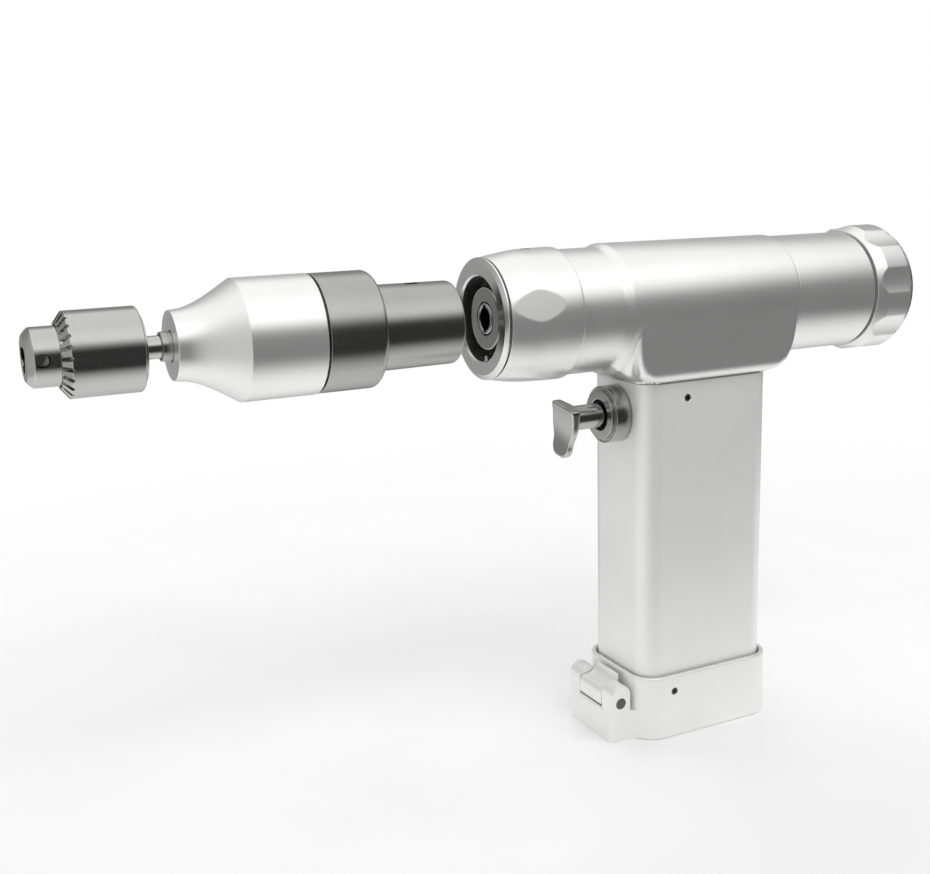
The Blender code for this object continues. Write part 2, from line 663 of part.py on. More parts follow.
def make_lock_ring(barrel, finishes):
    """The crowned ring with six flats and a cam groove that pushes the locking dog in."""
    steps = 6
    edge = 0.0012
    outline = [(LOCK_END, SLEEVE_RADIUS + RUN), (LOCK_START, SLEEVE_RADIUS + RUN)]
    for step in range(steps + 1):
        station = LOCK_START + (LOCK_LENGTH - edge) * step / steps
        outline.append((station, lock_radius(station)))
    outline.append((LOCK_END - edge * 0.3, lock_radius(LOCK_END) - edge * 0.3))
    outline.append((LOCK_END, lock_radius(LOCK_END) - edge))
    ring = piece("lock_ring", turned("lock_ring", outline), finishes["aluminium"], barrel)

    apothem = LOCK_CROWN_RADIUS - LOCK_FLAT_DEPTH
    reach = LOCK_CROWN_RADIUS + 0.004
    wide = reach * math.tan(math.pi / LOCK_FLATS)
    for number in range(LOCK_FLATS):
        low = (LOCK_START - 0.001, -wide, apothem)
        high = (LOCK_END + 0.001, wide, reach)
        turn = (math.pi / 2 + math.tau * number / LOCK_FLATS, 0, 0)
        name = f"lock_flat_{number + 1}"
        cut(ring, piece(name, box(name, low, high), parent=barrel, turn=turn))

    dog_half = math.atan2(DOG_WIDTH / 2, SLEEVE_RADIUS) + math.radians(0.8)
    deep = SLEEVE_RADIUS + DOG_TRAVEL + 0.0006
    shallow = SLEEVE_RADIUS + RUN
    inner = SLEEVE_RADIUS - 0.0020
    points = [(inner, -dog_half), (deep, -dog_half), (deep, 0), (deep, dog_half)]
    for step in range(1, 7):
        share = step / 6
        points.append((deep - (deep - shallow) * share, dog_half + LOCK_TURN * share))
    end = dog_half + LOCK_TURN + 0.1
    points.append((shallow - 0.0001, end))
    points += [(inner, end - (end + dog_half) * step / 5) for step in range(5)]
    points = [(radius * math.sin(turn), radius * math.cos(turn)) for radius, turn in points]
    half = DOG_LENGTH / 2 + RUN
    cam = extruded("cam_groove", points, DOG_BEHIND_FACE - half, DOG_BEHIND_FACE + half, "X")
    plug_station = DOG_BEHIND_FACE + 0.0035
    bottom = lock_radius(plug_station) - PLUG_DEPTH - PLUG_RECESS
    hole = rod("plug_hole", bottom, reach, PLUG_RADIUS + SEAT)
    turn = (0, -math.pi / 2, 0)
    hole = piece("plug_hole", hole, parent=barrel, location=(plug_station, 0, 0), turn=turn)
    cut(ring, piece("cam_groove", cam, parent=barrel), hole)
    top = bottom + SEAT + PLUG_DEPTH
    plug = rod("lock_ring_plug", bottom + SEAT, top, PLUG_RADIUS)
    place = (plug_station, 0, 0)
    piece("lock_ring_plug", plug, finishes["dark"], barrel, location=place, turn=turn)

    inside = BORE_RADIUS + 2 * SEAT
    top = SLEEVE_RADIUS + DOG_TRAVEL
    low = (DOG_BEHIND_FACE - DOG_LENGTH / 2, -DOG_WIDTH / 2, inside)
    high = (DOG_BEHIND_FACE + DOG_LENGTH / 2, DOG_WIDTH / 2, top)
    dog = piece("lock_dog", box("lock_dog", low, high), finishes["polished"], barrel)
    bevel = dog.modifiers.new("Broken edges", "BEVEL")
    bevel.width = 0.0003
    bevel.segments = 1


def bearing(name, start, length, inner, wall, material, parent):
    """A sealed ball bearing, as one ring with its edges broken."""
    end = start + length
    outer = inner + wall
    outline = [(start, inner), (start, outer - 0.0003), (start + 0.0003, outer)]
    outline += [(end, outer), (end, inner)]
    return piece(name, turned(name, outline, INNER_SIDES), material, parent)


def make_spindle(barrel, finishes):
    """The hollow output spindle with its keyed socket and planet carrier, on two bearings."""
    inner = SPINDLE_RADIUS + SEAT
    first = HUB_RECESS + 0.0022 + SEAT
    last = HUB_END - RUN - BEARING_LENGTH
    steel = finishes["polished"]
    bearing("spindle_bearing_front", first, BEARING_LENGTH, inner, BEARING_WALL, steel, barrel)
    bearing("spindle_bearing_rear", last, BEARING_LENGTH, inner, BEARING_WALL, steel, barrel)
    start = first + BEARING_LENGTH + SEAT
    outer = inner + BEARING_WALL
    spacer = tube("bearing_spacer", start, last - SEAT, outer, outer - 0.0012, INNER_SIDES)
    piece("bearing_spacer", spacer, finishes["steel"], barrel)

    deep = STUB_LENGTH + PILOT_LENGTH + RUN
    outline = [(HUB_RECESS - 0.0002, SOCKET_BORE), (HUB_RECESS - 0.0002, SPINDLE_RADIUS)]
    outline += [(CARRIER_START, SPINDLE_RADIUS), (CARRIER_START, PLANET_ORBIT + 0.0038)]
    outline += [(CARRIER_END, PLANET_ORBIT + 0.0038), (CARRIER_END, SHAFT_HOLE)]
    outline += [(deep + 0.0010, SHAFT_HOLE), (deep, SOCKET_BORE)]
    spindle = turned("output_spindle", outline, INNER_SIDES)
    spindle = piece("output_spindle", spindle, steel, barrel)
    reach = DRIVER_RADIUS + DRIVE_KEY_HEIGHT + 0.0004
    half = DRIVE_KEY_WIDTH / 2 + SEAT
    low = (0, -half, -reach)
    high = (STUB_LENGTH - 0.0030, half, reach)
    cut(spindle, piece("keyway", box("keyway", low, high), parent=barrel))
    for number in range(PLANETS):
        angle = math.tau * number / PLANETS
        pin = rod("pin", CARRIER_END - 0.0010, GEARS_END + 0.0006, PLANET_PIN_RADIUS, 12)
        place = (0, PLANET_ORBIT * math.sin(angle), PLANET_ORBIT * math.cos(angle))
        join(spindle, piece(f"planet_pin_{number + 1}", pin, parent=barrel, location=place))


def make_gears(barrel, finishes):
    """A planetary reduction: the motor's sun drives three planets inside a fixed ring."""
    thickness = math.pi * GEAR_MODULE / 2 - GEAR_BACKLASH
    tip = 0.8 * GEAR_MODULE
    root = 1.15 * GEAR_MODULE
    for number in range(PLANETS):
        angle = math.tau * number / PLANETS
        teeth = gear_outline(
            PLANET_TEETH, PLANET_RADIUS, PLANET_RADIUS + tip, PLANET_RADIUS - root, thickness
        )
        name = f"planet_gear_{number + 1}"
        mesh = extruded(name, teeth, GEARS_START, GEARS_END, "X")
        place = (0, PLANET_ORBIT * math.sin(angle), PLANET_ORBIT * math.cos(angle))
        gear = piece(name, mesh, finishes["brass"], barrel, place, (-angle, 0, 0))
        bore = rod("bore", GEARS_START - 0.001, GEARS_END + 0.001, PLANET_PIN_RADIUS + SEAT, 12)
        cut(gear, piece(f"planet_bore_{number + 1}", bore, parent=barrel, location=place))

    ring_pitch = GEAR_MODULE * RING_TEETH / 2
    gap = math.pi * GEAR_MODULE - thickness
    spaces = gear_outline(RING_TEETH, ring_pitch, ring_pitch + root, ring_pitch - tip, gap)
    outline = tube("ring_gear", HUB_END + SEAT, RING_END, INNER_RADIUS, ring_pitch - tip - 0.002)
    ring = piece("ring_gear", outline, finishes["steel"], barrel)
    mesh = extruded("ring_teeth", spaces, HUB_END - 0.001, RING_END + 0.001, "X")
    cut(ring, piece("ring_teeth", mesh, parent=barrel))

    outline = [(GEARS_END - 0.001, SHAFT_HOLE), (GEARS_END - 0.001, SHAFT_RADIUS)]
    outline += [(MOTOR_SHAFT_END, SHAFT_RADIUS), (MOTOR_SHAFT_END, SHAFT_HOLE)]
    shaft = turned("motor_shaft", outline, INNER_SIDES)
    shaft = piece("motor_shaft", shaft, finishes["polished"], barrel)
    teeth = gear_outline(SUN_TEETH, SUN_RADIUS, SUN_RADIUS + tip, SUN_RADIUS - root, thickness)
    sun = extruded("sun_gear", teeth, GEARS_START, GEARS_END + 0.0005, "X")
    bore = rod("sun_bore", 0, MOTOR_SHAFT_END + 0.001, SHAFT_HOLE, INNER_SIDES)
    join(shaft, piece("sun_gear", sun, parent=barrel))
    cut(shaft, piece("sun_bore", bore, parent=barrel))


def make_motor(barrel, finishes):
    """The brushless motor: end plates, bearings, stator with its windings, and rotor."""
    inner = SHAFT_RADIUS + SEAT
    wall = 0.0039
    pocket = inner + wall + SEAT
    front = FRONT_PLATE_START
    sun_hole = SUN_RADIUS + GEAR_MODULE
    outline = [(front, sun_hole), (front, INNER_RADIUS), (FRONT_PLATE_END, INNER_RADIUS)]
    outline += [(FRONT_PLATE_END, pocket), (front + 0.0010, pocket), (front + 0.0010, sun_hole)]
    plate = turned("motor_front_plate", outline, SMALL_SIDES + 4)
    piece("motor_front_plate", plate, finishes["aluminium"], barrel)
    length = MOTOR_PLATE - 0.0010 - 2 * SEAT
    steel = finishes["polished"]
    start = front + 0.0010 + SEAT
    bearing("motor_bearing_front", start, length, inner, wall, steel, barrel)

    slot_wall = INNER_RADIUS - 0.0042
    tooth = ROTOR_RADIUS + AIR_GAP
    core = tube("stator_core", STATOR_START, STATOR_END, INNER_RADIUS, tooth)
    core = piece("stator_core", core, finishes["steel"], barrel)
    slots = 6
    for number in range(slots):
        half = math.radians(16)
        points = [(0.3 * tooth * math.sin(-half * 0.3), 0.5 * tooth)]
        points += [(slot_wall * math.sin(a), slot_wall * math.cos(a)) for a in (-half, 0, half)]
        points += [(0.3 * tooth * math.sin(half * 0.3), 0.5 * tooth)]
        name = f"stator_slot_{number + 1}"
        mesh = extruded(name, points, STATOR_START - 0.001, STATOR_END + 0.001, "X")
        turn = (math.tau * (number + 0.5) / slots, 0, 0)
        cut(core, piece(name, mesh, parent=barrel, turn=turn))
    for start, label in ((WINDING_START, "front"), (STATOR_END + SEAT, "rear")):
        inside = ROTOR_RADIUS + 0.0016
        outside = slot_wall + 0.0020
        name = f"stator_winding_{label}"
        mesh = tube(name, start, start + WINDING_LENGTH, outside, inside, INNER_SIDES, 0.0012)
        piece(name, mesh, finishes["copper"], barrel)
    start = STATOR_START + 0.0005
    end = STATOR_END - 0.0005
    magnets = tube("rotor_magnets", start, end, ROTOR_RADIUS, inner, INNER_SIDES, 0.0004)
    piece("rotor_magnets", magnets, finishes["magnet"], barrel)

    rear = REAR_PLATE_END
    outline = [(REAR_PLATE_START, pocket), (REAR_PLATE_START, INNER_RADIUS), (rear, INNER_RADIUS)]
    outline += [(rear, inner + 0.0005), (rear - 0.0010, inner + 0.0005), (rear - 0.0010, pocket)]
    plate = turned("motor_rear_plate", outline, SMALL_SIDES + 4)
    piece("motor_rear_plate", plate, finishes["aluminium"], barrel)
    start = REAR_PLATE_START + SEAT
    bearing("motor_bearing_rear", start, length, inner, wall, steel, barrel)

    board_end = BOARD_START + 0.0016
    outer = INNER_RADIUS - 0.0004
    board = tube("drive_board", BOARD_START, board_end, outer, SHAFT_RADIUS + 0.0030, INNER_SIDES)
    board = piece("drive_board", board, finishes["board"], barrel)
    for number, (angle, rise, half) in enumerate(
        ((0, 0.0022, 0.0032), (70, 0.0014, 0.0024), (150, 0.0030, 0.0020), (235, 0.0018, 0.0030))
    ):
        name = f"drive_chip_{number + 1}"
        middle = 0.0148
        low = (board_end - 0.0008, -half, middle - half)
        chip = box(name, low, (board_end + rise, half, middle + half))
        join(board, piece(name, chip, parent=barrel, turn=(math.radians(angle), 0, 0)))

    start = STUB_LENGTH + PILOT_LENGTH + 0.0018
    end = CAP_END - 0.0002
    wire_tube = tube("cannula_tube", start, end, CANNULA_RADIUS, CANNULA_BORE, TINY_SIDES)
    piece("cannula_tube", wire_tube, finishes["steel"], barrel)


def make_rear(barrel, finishes):
    """Rear housing, mode ring with eight flats, its magnet and sensor, and the end cap."""
    start = BODY_END + SEAT
    spigot = BODY_END - SPIGOT_LENGTH
    inner = REAR_RADIUS - REAR_WALL
    plate = REAR_END - REAR_PLATE
    outline = [(spigot, INNER_RADIUS - SPIGOT_WALL), (spigot, INNER_RADIUS), (start, INNER_RADIUS)]
    outline += [(start, REAR_RADIUS), (REAR_END, REAR_RADIUS)]
    outline += [(REAR_END, JOURNAL_RADIUS), (JOURNAL_END, JOURNAL_RADIUS)]
    outline += [(JOURNAL_END, JOURNAL_BORE), (plate, JOURNAL_BORE), (plate, inner)]
    outline += [(start + 0.0030, inner), (start + 0.0010, INNER_RADIUS - SPIGOT_WALL)]
    housing = turned("rear_housing", outline)
    piece("rear_housing", housing, finishes["aluminium"], barrel)

    end = plate - SEAT
    board = tube("mode_sensor_board", end - 0.0016, end, inner - SEAT, 0.0060, INNER_SIDES)
    piece("mode_sensor_board", board, finishes["board"], barrel)

    hole = JOURNAL_RADIUS + RUN
    cylinder = MODE_START + MODE_CONE_LENGTH
    outline = [(MODE_START, hole), (MODE_START, MODE_FRONT_RADIUS), (cylinder, MODE_RADIUS)]
    outline += [(MODE_END - MODE_CHAMFER, MODE_RADIUS), (MODE_END, MODE_REAR_RADIUS)]
    outline += [(MODE_END, hole)]
    ring = piece("mode_ring", turned("mode_ring", outline, 32), finishes["aluminium"], barrel)
    half_angle = math.pi / (2 * MODE_FLATS)
    apothem = MODE_RADIUS * math.cos(half_angle)
    for number in range(MODE_FLATS):
        low = (MODE_START - 0.001, -0.012, apothem)
        high = (MODE_END + 0.001, 0.012, apothem + 0.008)
        turn = (math.tau * (number + 0.5) / MODE_FLATS, 0, 0)
        name = f"mode_flat_{number + 1}"
        cut(ring, piece(name, box(name, low, high), parent=barrel, turn=turn))
    middle = (cylinder + MODE_END - MODE_CHAMFER) / 2
    hole_mesh = rod("index_hole", apothem - 0.0012, apothem + 0.004, INDEX_HOLE_RADIUS, 12)
    spin = math.tau * 0.5 / MODE_FLATS
    index = piece("index_hole", hole_mesh, parent=barrel, location=(middle, 0, 0))
    upright = Matrix.Rotation(-math.pi / 2, 4, "Y")
    index.rotation_euler = (Matrix.Rotation(spin, 4, "X") @ upright).to_euler()
    radius = 0.0015
    place = (0, 0, (hole + MODE_FRONT_RADIUS) / 2)
    pocket = rod("magnet_pocket", MODE_START - 0.001, MODE_START + 0.0033, radius + SEAT, 12)
    cut(ring, index, piece("magnet_pocket", pocket, parent=barrel, location=place))
    magnet = rod("mode_magnet", MODE_START + 0.0003, MODE_START + 0.0030, radius, 12)
    piece("mode_magnet", magnet, finishes["magnet"], barrel, place)

    tail = JOURNAL_BORE - SEAT
    outline = [(JOURNAL_END - 0.0090, CANNULA_RADIUS + SEAT), (JOURNAL_END - 0.0090, tail)]
    outline += [(JOURNAL_END + SEAT, tail), (JOURNAL_END + SEAT, JOURNAL_RADIUS)]
    outline += [(CAP_START, JOURNAL_RADIUS), (CAP_START, CAP_RIM_RADIUS)]
    outline += [(CAP_START + 0.0009, CAP_RIM_RADIUS), (CAP_START + 0.0016, CAP_RIM_RADIUS - 0.0007)]
    outline += [(CAP_END, CAP_DISC_RADIUS), (CAP_END, CANNULA_RADIUS + SEAT)]
    cap = turned("rear_cap", outline)
    piece("rear_cap", cap, finishes["bright"], barrel)


def make_handle(finishes):
    """The hollow grip, open at its foot, and the screws that hold it to the barrel."""
    outline = rounded_rectangle(HANDLE_HALF_DEPTH, HANDLE_HALF_WIDTH, HANDLE_CORNER, 6)
    mesh = extruded("handle_shell", outline, HANDLE_BOTTOM, HANDLE_TOP)
    shell = piece("handle_shell", mesh, finishes["aluminium"])
    radius = HANDLE_CORNER - HANDLE_WALL
    half = (HANDLE_HALF_DEPTH - HANDLE_WALL, HANDLE_HALF_WIDTH - HANDLE_WALL)
    inside = rounded_rectangle(*half, radius, 6)
    hollow = extruded("handle_hollow", inside, HANDLE_BOTTOM - 0.001, HANDLE_TOP + 0.001)
    guide = rod("guide_hole", -0.040, -0.015, GUIDE_BODY_RADIUS + SEAT)
    guide = piece("guide_hole", guide, location=(0, 0, TRIGGER_HEIGHT))
    hook_top = PIN_HEIGHT + HOOK_HEIGHT + HOOK_THICKNESS / 2 + 0.0022
    low = (-HANDLE_HALF_DEPTH - 0.001, -HOOK_HALF_WIDTH - RUN, HANDLE_BOTTOM - 0.001)
    high = (-HANDLE_HALF_DEPTH + HANDLE_WALL + 0.001, HOOK_HALF_WIDTH + RUN, hook_top)
    notch = piece("hook_notch", box("hook_notch", low, high))
    height = SADDLE_BOTTOM - HANDLE_SCREW_DROP
    holes = screw_holes("handle", HANDLE_SCREW_X, height, 0.010)
    cut(shell, piece("handle_hollow", hollow), guide, notch, *holes)
    end = HANDLE_HALF_WIDTH - 0.0002
    set_screws("handle_screw", HANDLE_SCREW_X, height, 0.0130, end, finishes["dark"])


def make_trigger(finishes):
    """The trigger with its guide, wiper seal, switch and return spring. The spring is drawn
    at its shortest, against the switch."""
    axis = frame_at("trigger_axis", (0, 0, TRIGGER_HEIGHT))
    face = -HANDLE_HALF_DEPTH - SEAT
    big = face - GUIDE_LENGTH
    lip = big - GUIDE_LIP_LENGTH
    tail = face + GUIDE_TAIL
    bore = STEM_RADIUS + 0.0004
    seal_end = lip + 0.0030
    outline = [(lip, GUIDE_BORE), (lip, GUIDE_LIP_RADIUS), (big, GUIDE_LIP_RADIUS)]
    outline += [(big, GUIDE_RADIUS), (face, GUIDE_RADIUS)]
    outline += [(face, GUIDE_BODY_RADIUS), (tail, GUIDE_BODY_RADIUS), (tail, bore)]
    outline += [(seal_end, bore), (seal_end, GUIDE_BORE)]
    guide = turned("trigger_guide", outline, SIDES)
    piece("trigger_guide", guide, finishes["steel"], axis)
    inner = STEM_RADIUS + SEAT
    outline = [(lip + 0.0012, GUIDE_BORE - SEAT), (seal_end - SEAT, GUIDE_BORE - SEAT)]
    outline += [(seal_end - SEAT, inner + 0.0002), (lip + 0.0016, inner)]
    seal = turned("trigger_seal", outline, INNER_SIDES)
    piece("trigger_seal", seal, finishes["rubber"], axis)

    back = lip - PLATE_GAP
    stem_end = tail + 0.0020
    outline = [(back - PLATE_THICKNESS * 0.5, 0), (back - PLATE_THICKNESS * 0.5, STEM_RADIUS)]
    outline += [(stem_end - 0.0004, STEM_RADIUS), (stem_end, STEM_RADIUS - 0.0004), (stem_end, 0)]
    trigger = piece("trigger", turned("trigger", outline), finishes["steel"], axis)
    middle = (PLATE_ABOVE - PLATE_BELOW) / 2
    half = (PLATE_ABOVE + PLATE_BELOW) / 2
    front, rear = [], []
    steps = 10
    for step in range(steps + 1):
        place = -1 + 2 * step / steps
        z = middle + half * place
        hollow = PLATE_HOLLOW * (1 - place**2)
        front.append((back - PLATE_THICKNESS - PLATE_HOLLOW * 0.6 + hollow, z))
        waist = math.exp(-((z / (STEM_RADIUS * 1.1)) ** 2))
        rear.append((back - 0.0014 * (1 - waist) - PLATE_HOLLOW * 0.6 * place**2, z))
    half_width = PLATE_WIDTH / 2
    outline = front + list(reversed(rear))
    plate = extruded("trigger_plate", outline, -half_width, half_width, "Y")
    plate = piece("trigger_plate", plate, parent=axis)
    bevel = plate.modifiers.new("Soft edges", "BEVEL")
    bevel.width = 0.0007
    bevel.segments = 2
    bevel.angle_limit = math.radians(40)
    join(trigger, plate)

    start = stem_end + TRIGGER_TRAVEL + 0.0006
    length = 0.0036
    place = (start, 0, 0)
    spring = coil("trigger_spring", 0.0032, 0.0004, length - 0.0008, 3)
    piece("trigger_spring", spring, finishes["polished"], axis, location=place)
    front = start + length - 0.0004
    low = (front, -SWITCH_HALF_WIDTH, SWITCH_BOTTOM)
    high = (front + SWITCH_LENGTH, SWITCH_HALF_WIDTH, SWITCH_TOP)
    switch = piece("switch_module", box("switch_module", low, high), finishes["plastic"])
    nose = rod("switch_nose", start + 0.0002, front + 0.001, 0.0022)
    join(switch, piece("switch_nose", nose, parent=axis))


def make_battery(finishes):
    """The battery pack that stands in its cap, with its pads and the handle's contacts."""
    outline = rounded_rectangle(BATTERY_HALF_DEPTH, BATTERY_HALF_WIDTH, BATTERY_CORNER, 4)
    mesh = extruded("battery_pack", outline, CAP_FLOOR + SEAT, BATTERY_TOP)
    piece("battery_pack", mesh, finishes["battery"])
    strip = BATTERY_TOP + SEAT
    reach = PAD_PITCH + PAD_LENGTH / 2 + 0.0010
    half = PAD_WIDTH / 2 + 0.0010
    mesh = box("battery_contacts", (-reach, -half, strip), (reach, half, strip + CONTACT_STRIP))
    contacts = piece("battery_contacts", mesh, finishes["gold"])
    half_length, half = PAD_LENGTH / 2, PAD_WIDTH / 2
    for number, x in enumerate((-PAD_PITCH, 0.0, PAD_PITCH)):
        name = f"battery_pad_{number + 1}"
        low = (x - half_length, -half, strip + CONTACT_STRIP / 3)
        pad = box(name, low, (x + half_length, half, PADS_TOP))
        join(contacts, piece(name, pad))
    half = (HANDLE_HALF_DEPTH - HANDLE_WALL - SEAT, HANDLE_HALF_WIDTH - HANDLE_WALL - SEAT)
    outline = rounded_rectangle(*half, HANDLE_CORNER - HANDLE_WALL - SEAT, 4)
    mesh = extruded("contact_block", outline, BLOCK_BOTTOM, BLOCK_BOTTOM + CONTACT_BLOCK)
    block = piece("contact_block", mesh, finishes["plastic"])
    half_length, half = PAD_LENGTH / 5, PAD_WIDTH * 0.3
    for number, x in enumerate((-PAD_PITCH, 0.0, PAD_PITCH)):
        name = f"contact_pin_{number + 1}"
        low = (x - half_length, -half, PADS_TOP + SEAT)
        pin = box(name, low, (x + half_length, half, BLOCK_BOTTOM + 0.0010))
        join(block, piece(name, pin))


def make_cap(finishes):
    """The battery cap: a tray with a raised rim round the handle's foot, and at its front
    the block with two ears that carries the latch."""
    wall = CAP_GAP + CAP_WALL
    depth = HANDLE_HALF_DEPTH + wall
    width = HANDLE_HALF_WIDTH + wall
    corner = HANDLE_CORNER + wall
    foot = 0.0008
    sections = []
    for height, inset in ((0, foot), (foot, 0), (CAP_HEIGHT, 0)):
        outline = rounded_rectangle(depth - inset, width - inset, corner - inset, 5)
        sections.append([(x, y, height) for x, y in outline])
    cap = piece("battery_cap", lofted("battery_cap", sections), finishes["aluminium"])

    front = -depth - LATCH_REACH
    half = LATCH_HALF_WIDTH
    blend = LATCH_FILLET
    corner_x = -depth + corner
    corner_y = width - corner
    rise = half + blend - corner_y
    blend_x = corner_x - math.sqrt((corner + blend) ** 2 - rise**2)
    meet = math.degrees(math.atan2(-rise, corner_x - blend_x))
    nose = 0.0018
    plan = [(corner_x, corner_y)] + arc((blend_x, half + blend), blend, meet, -90, 6)
    plan += arc((front + nose, half - nose), nose, 90, 180, 4)
    plan += [(x, -y) for x, y in reversed(plan)]
    foot_plan = [(x + (foot if x < front + nose else 0), y) for x, y in plan]
    sections = [[(x, y, 0) for x, y in foot_plan], [(x, y, foot) for x, y in plan]]
    sections.append([(x, y, LATCH_BLOCK_HEIGHT) for x, y in plan])
    join(cap, piece("latch_block", lofted("latch_block", sections)))

    pin_x = -depth - PIN_FROM_WALL
    low = LATCH_BLOCK_HEIGHT - 0.0020
    ear_top = (pin_x, CAP_HEIGHT - 0.0017 - EAR_RADIUS)
    ear = arc(ear_top, EAR_RADIUS, 0, 180, 10)
    ear += [(ear_top[0] - EAR_RADIUS, low), (ear_top[0] + EAR_RADIUS, low)]
    for label, y in (("near", -half), ("far", half - EAR_WIDTH)):
        mesh = extruded(f"latch_ear_{label}", ear, y, y + EAR_WIDTH, "Y")
        ear_piece = piece(f"latch_ear_{label}", mesh)
        join(cap, ear_piece)
    inner = half - EAR_WIDTH + 0.0002
    sill = LATCH_BLOCK_HEIGHT + 0.0014
    mesh = box("lever_sill", (front + 0.0005, -inner, low), (pin_x + EAR_RADIUS, inner, sill))
    join(cap, piece("lever_sill", mesh))

    gap = CAP_GAP
    outline = rounded_rectangle(
        HANDLE_HALF_DEPTH + gap, HANDLE_HALF_WIDTH + gap, HANDLE_CORNER + gap, 5
    )
    seat = CAP_HEIGHT - CAP_SOCKET
    socket = piece("handle_socket", extruded("handle_socket", outline, seat, CAP_HEIGHT + 0.001))
    clear = TRAY_CLEARANCE
    room = (BATTERY_HALF_DEPTH + clear, BATTERY_HALF_WIDTH + clear)
    outline = rounded_rectangle(*room, BATTERY_CORNER + clear, 4)
    tray = piece("battery_tray", extruded("battery_tray", outline, CAP_FLOOR, seat + 0.001))
    hook_low = PIN_HEIGHT + HOOK_HEIGHT - HOOK_THICKNESS / 2 - RUN
    low = (-depth - 0.001, -HOOK_HALF_WIDTH - RUN, hook_low)
    high = (-HANDLE_HALF_DEPTH, HOOK_HALF_WIDTH + RUN, hook_low + HOOK_THICKNESS + 0.0026)
    window = piece("hook_window", box("hook_window", low, high))
    bore = rod("pin_bore", -0.030, 0.030, PIN_RADIUS + SEAT, TINY_SIDES)
    turn = (0, 0, math.pi / 2)
    bore = piece("pin_bore", bore, location=(pin_x, 0, PIN_HEIGHT), turn=turn)
    pocket = rod("spring_pocket", sill - 0.0030, sill + 0.001, 0.0017)
    spring_x = pin_x - 0.0022
    upright = (0, -math.pi / 2, 0)
    pocket = piece("spring_pocket", pocket, location=(spring_x, 0, 0), turn=upright)
    depth_of_hole = HANDLE_HALF_WIDTH + 0.0010
    holes = screw_holes("cap", CAP_SCREW_X, CAP_SCREW_HEIGHT, depth_of_hole)
    cut(cap, socket, tray, window, bore, pocket, *holes)
    start = HANDLE_HALF_WIDTH + CAP_GAP + 0.0002
    end = width - 0.0002
    set_screws("cap_screw", CAP_SCREW_X, CAP_SCREW_HEIGHT, start, end, finishes["dark"])

    outline = [(-half + 0.0003, 0), (-half + 0.0003, PIN_RADIUS), (half - 0.0003, PIN_RADIUS)]
    pin = turned("latch_pin", outline + [(half - 0.0003, 0)], TINY_SIDES)
    piece("latch_pin", pin, finishes["dark"], None, (pin_x, 0, PIN_HEIGHT), turn)
    spring = coil("latch_spring", 0.0011, 0.0002, 0.0019, 3)
    place = (spring_x, 0, sill - 0.0025)
    piece("latch_spring", spring, finishes["polished"], None, place, upright)
    make_lever(finishes, depth, front, sill)


def make_lever(finishes, depth, front, sill):
    """The thumb lever between the ears. Its hook reaches through the rim to the handle."""
    pin_x = -depth - PIN_FROM_WALL
    bottom = sill + LEVER_SLOT - PIN_HEIGHT
    nose = front - pin_x + 0.0001
    crest = CAP_HEIGHT - 0.0008 - PIN_HEIGHT
    back = PIN_FROM_WALL - 0.0016
    outline = [(nose, bottom), (nose, 0.0012), (nose + 0.0005, 0.0029), (nose + 0.0015, 0.0040)]
    start = (nose + 0.0028, 0.0046)
    for step in range(9):
        turn = math.pi / 2 * step / 8
        x = start[0] + (back - 0.0003 - start[0]) * math.sin(turn)
        z = start[1] + (crest - start[1]) * (1 - math.cos(turn))
        outline.append((x, z))
    outline += [(back, crest - 0.0003), (back, 0.0010), (back - 0.0010, bottom)]
    half = LATCH_HALF_WIDTH - EAR_WIDTH - SEAT
    mesh = extruded("latch_lever", outline, -half, half, "Y")
    place = (pin_x, 0, PIN_HEIGHT)
    lever = piece("latch_lever", mesh, finishes["aluminium"], None, place)
    reach = -HANDLE_HALF_DEPTH + HOOK_BITE - pin_x
    low = (back - 0.0010, -HOOK_HALF_WIDTH, HOOK_HEIGHT - HOOK_THICKNESS / 2)
    high = (reach, HOOK_HALF_WIDTH, HOOK_HEIGHT + HOOK_THICKNESS / 2)
    join(lever, piece("latch_hook", box("latch_hook", low, high), location=place))
    bore = rod("lever_bore", -0.030, 0.030, PIN_RADIUS + SEAT, TINY_SIDES)
    bore = piece("lever_bore", bore, location=place, turn=(0, 0, math.pi / 2))
    cut(lever, bore)


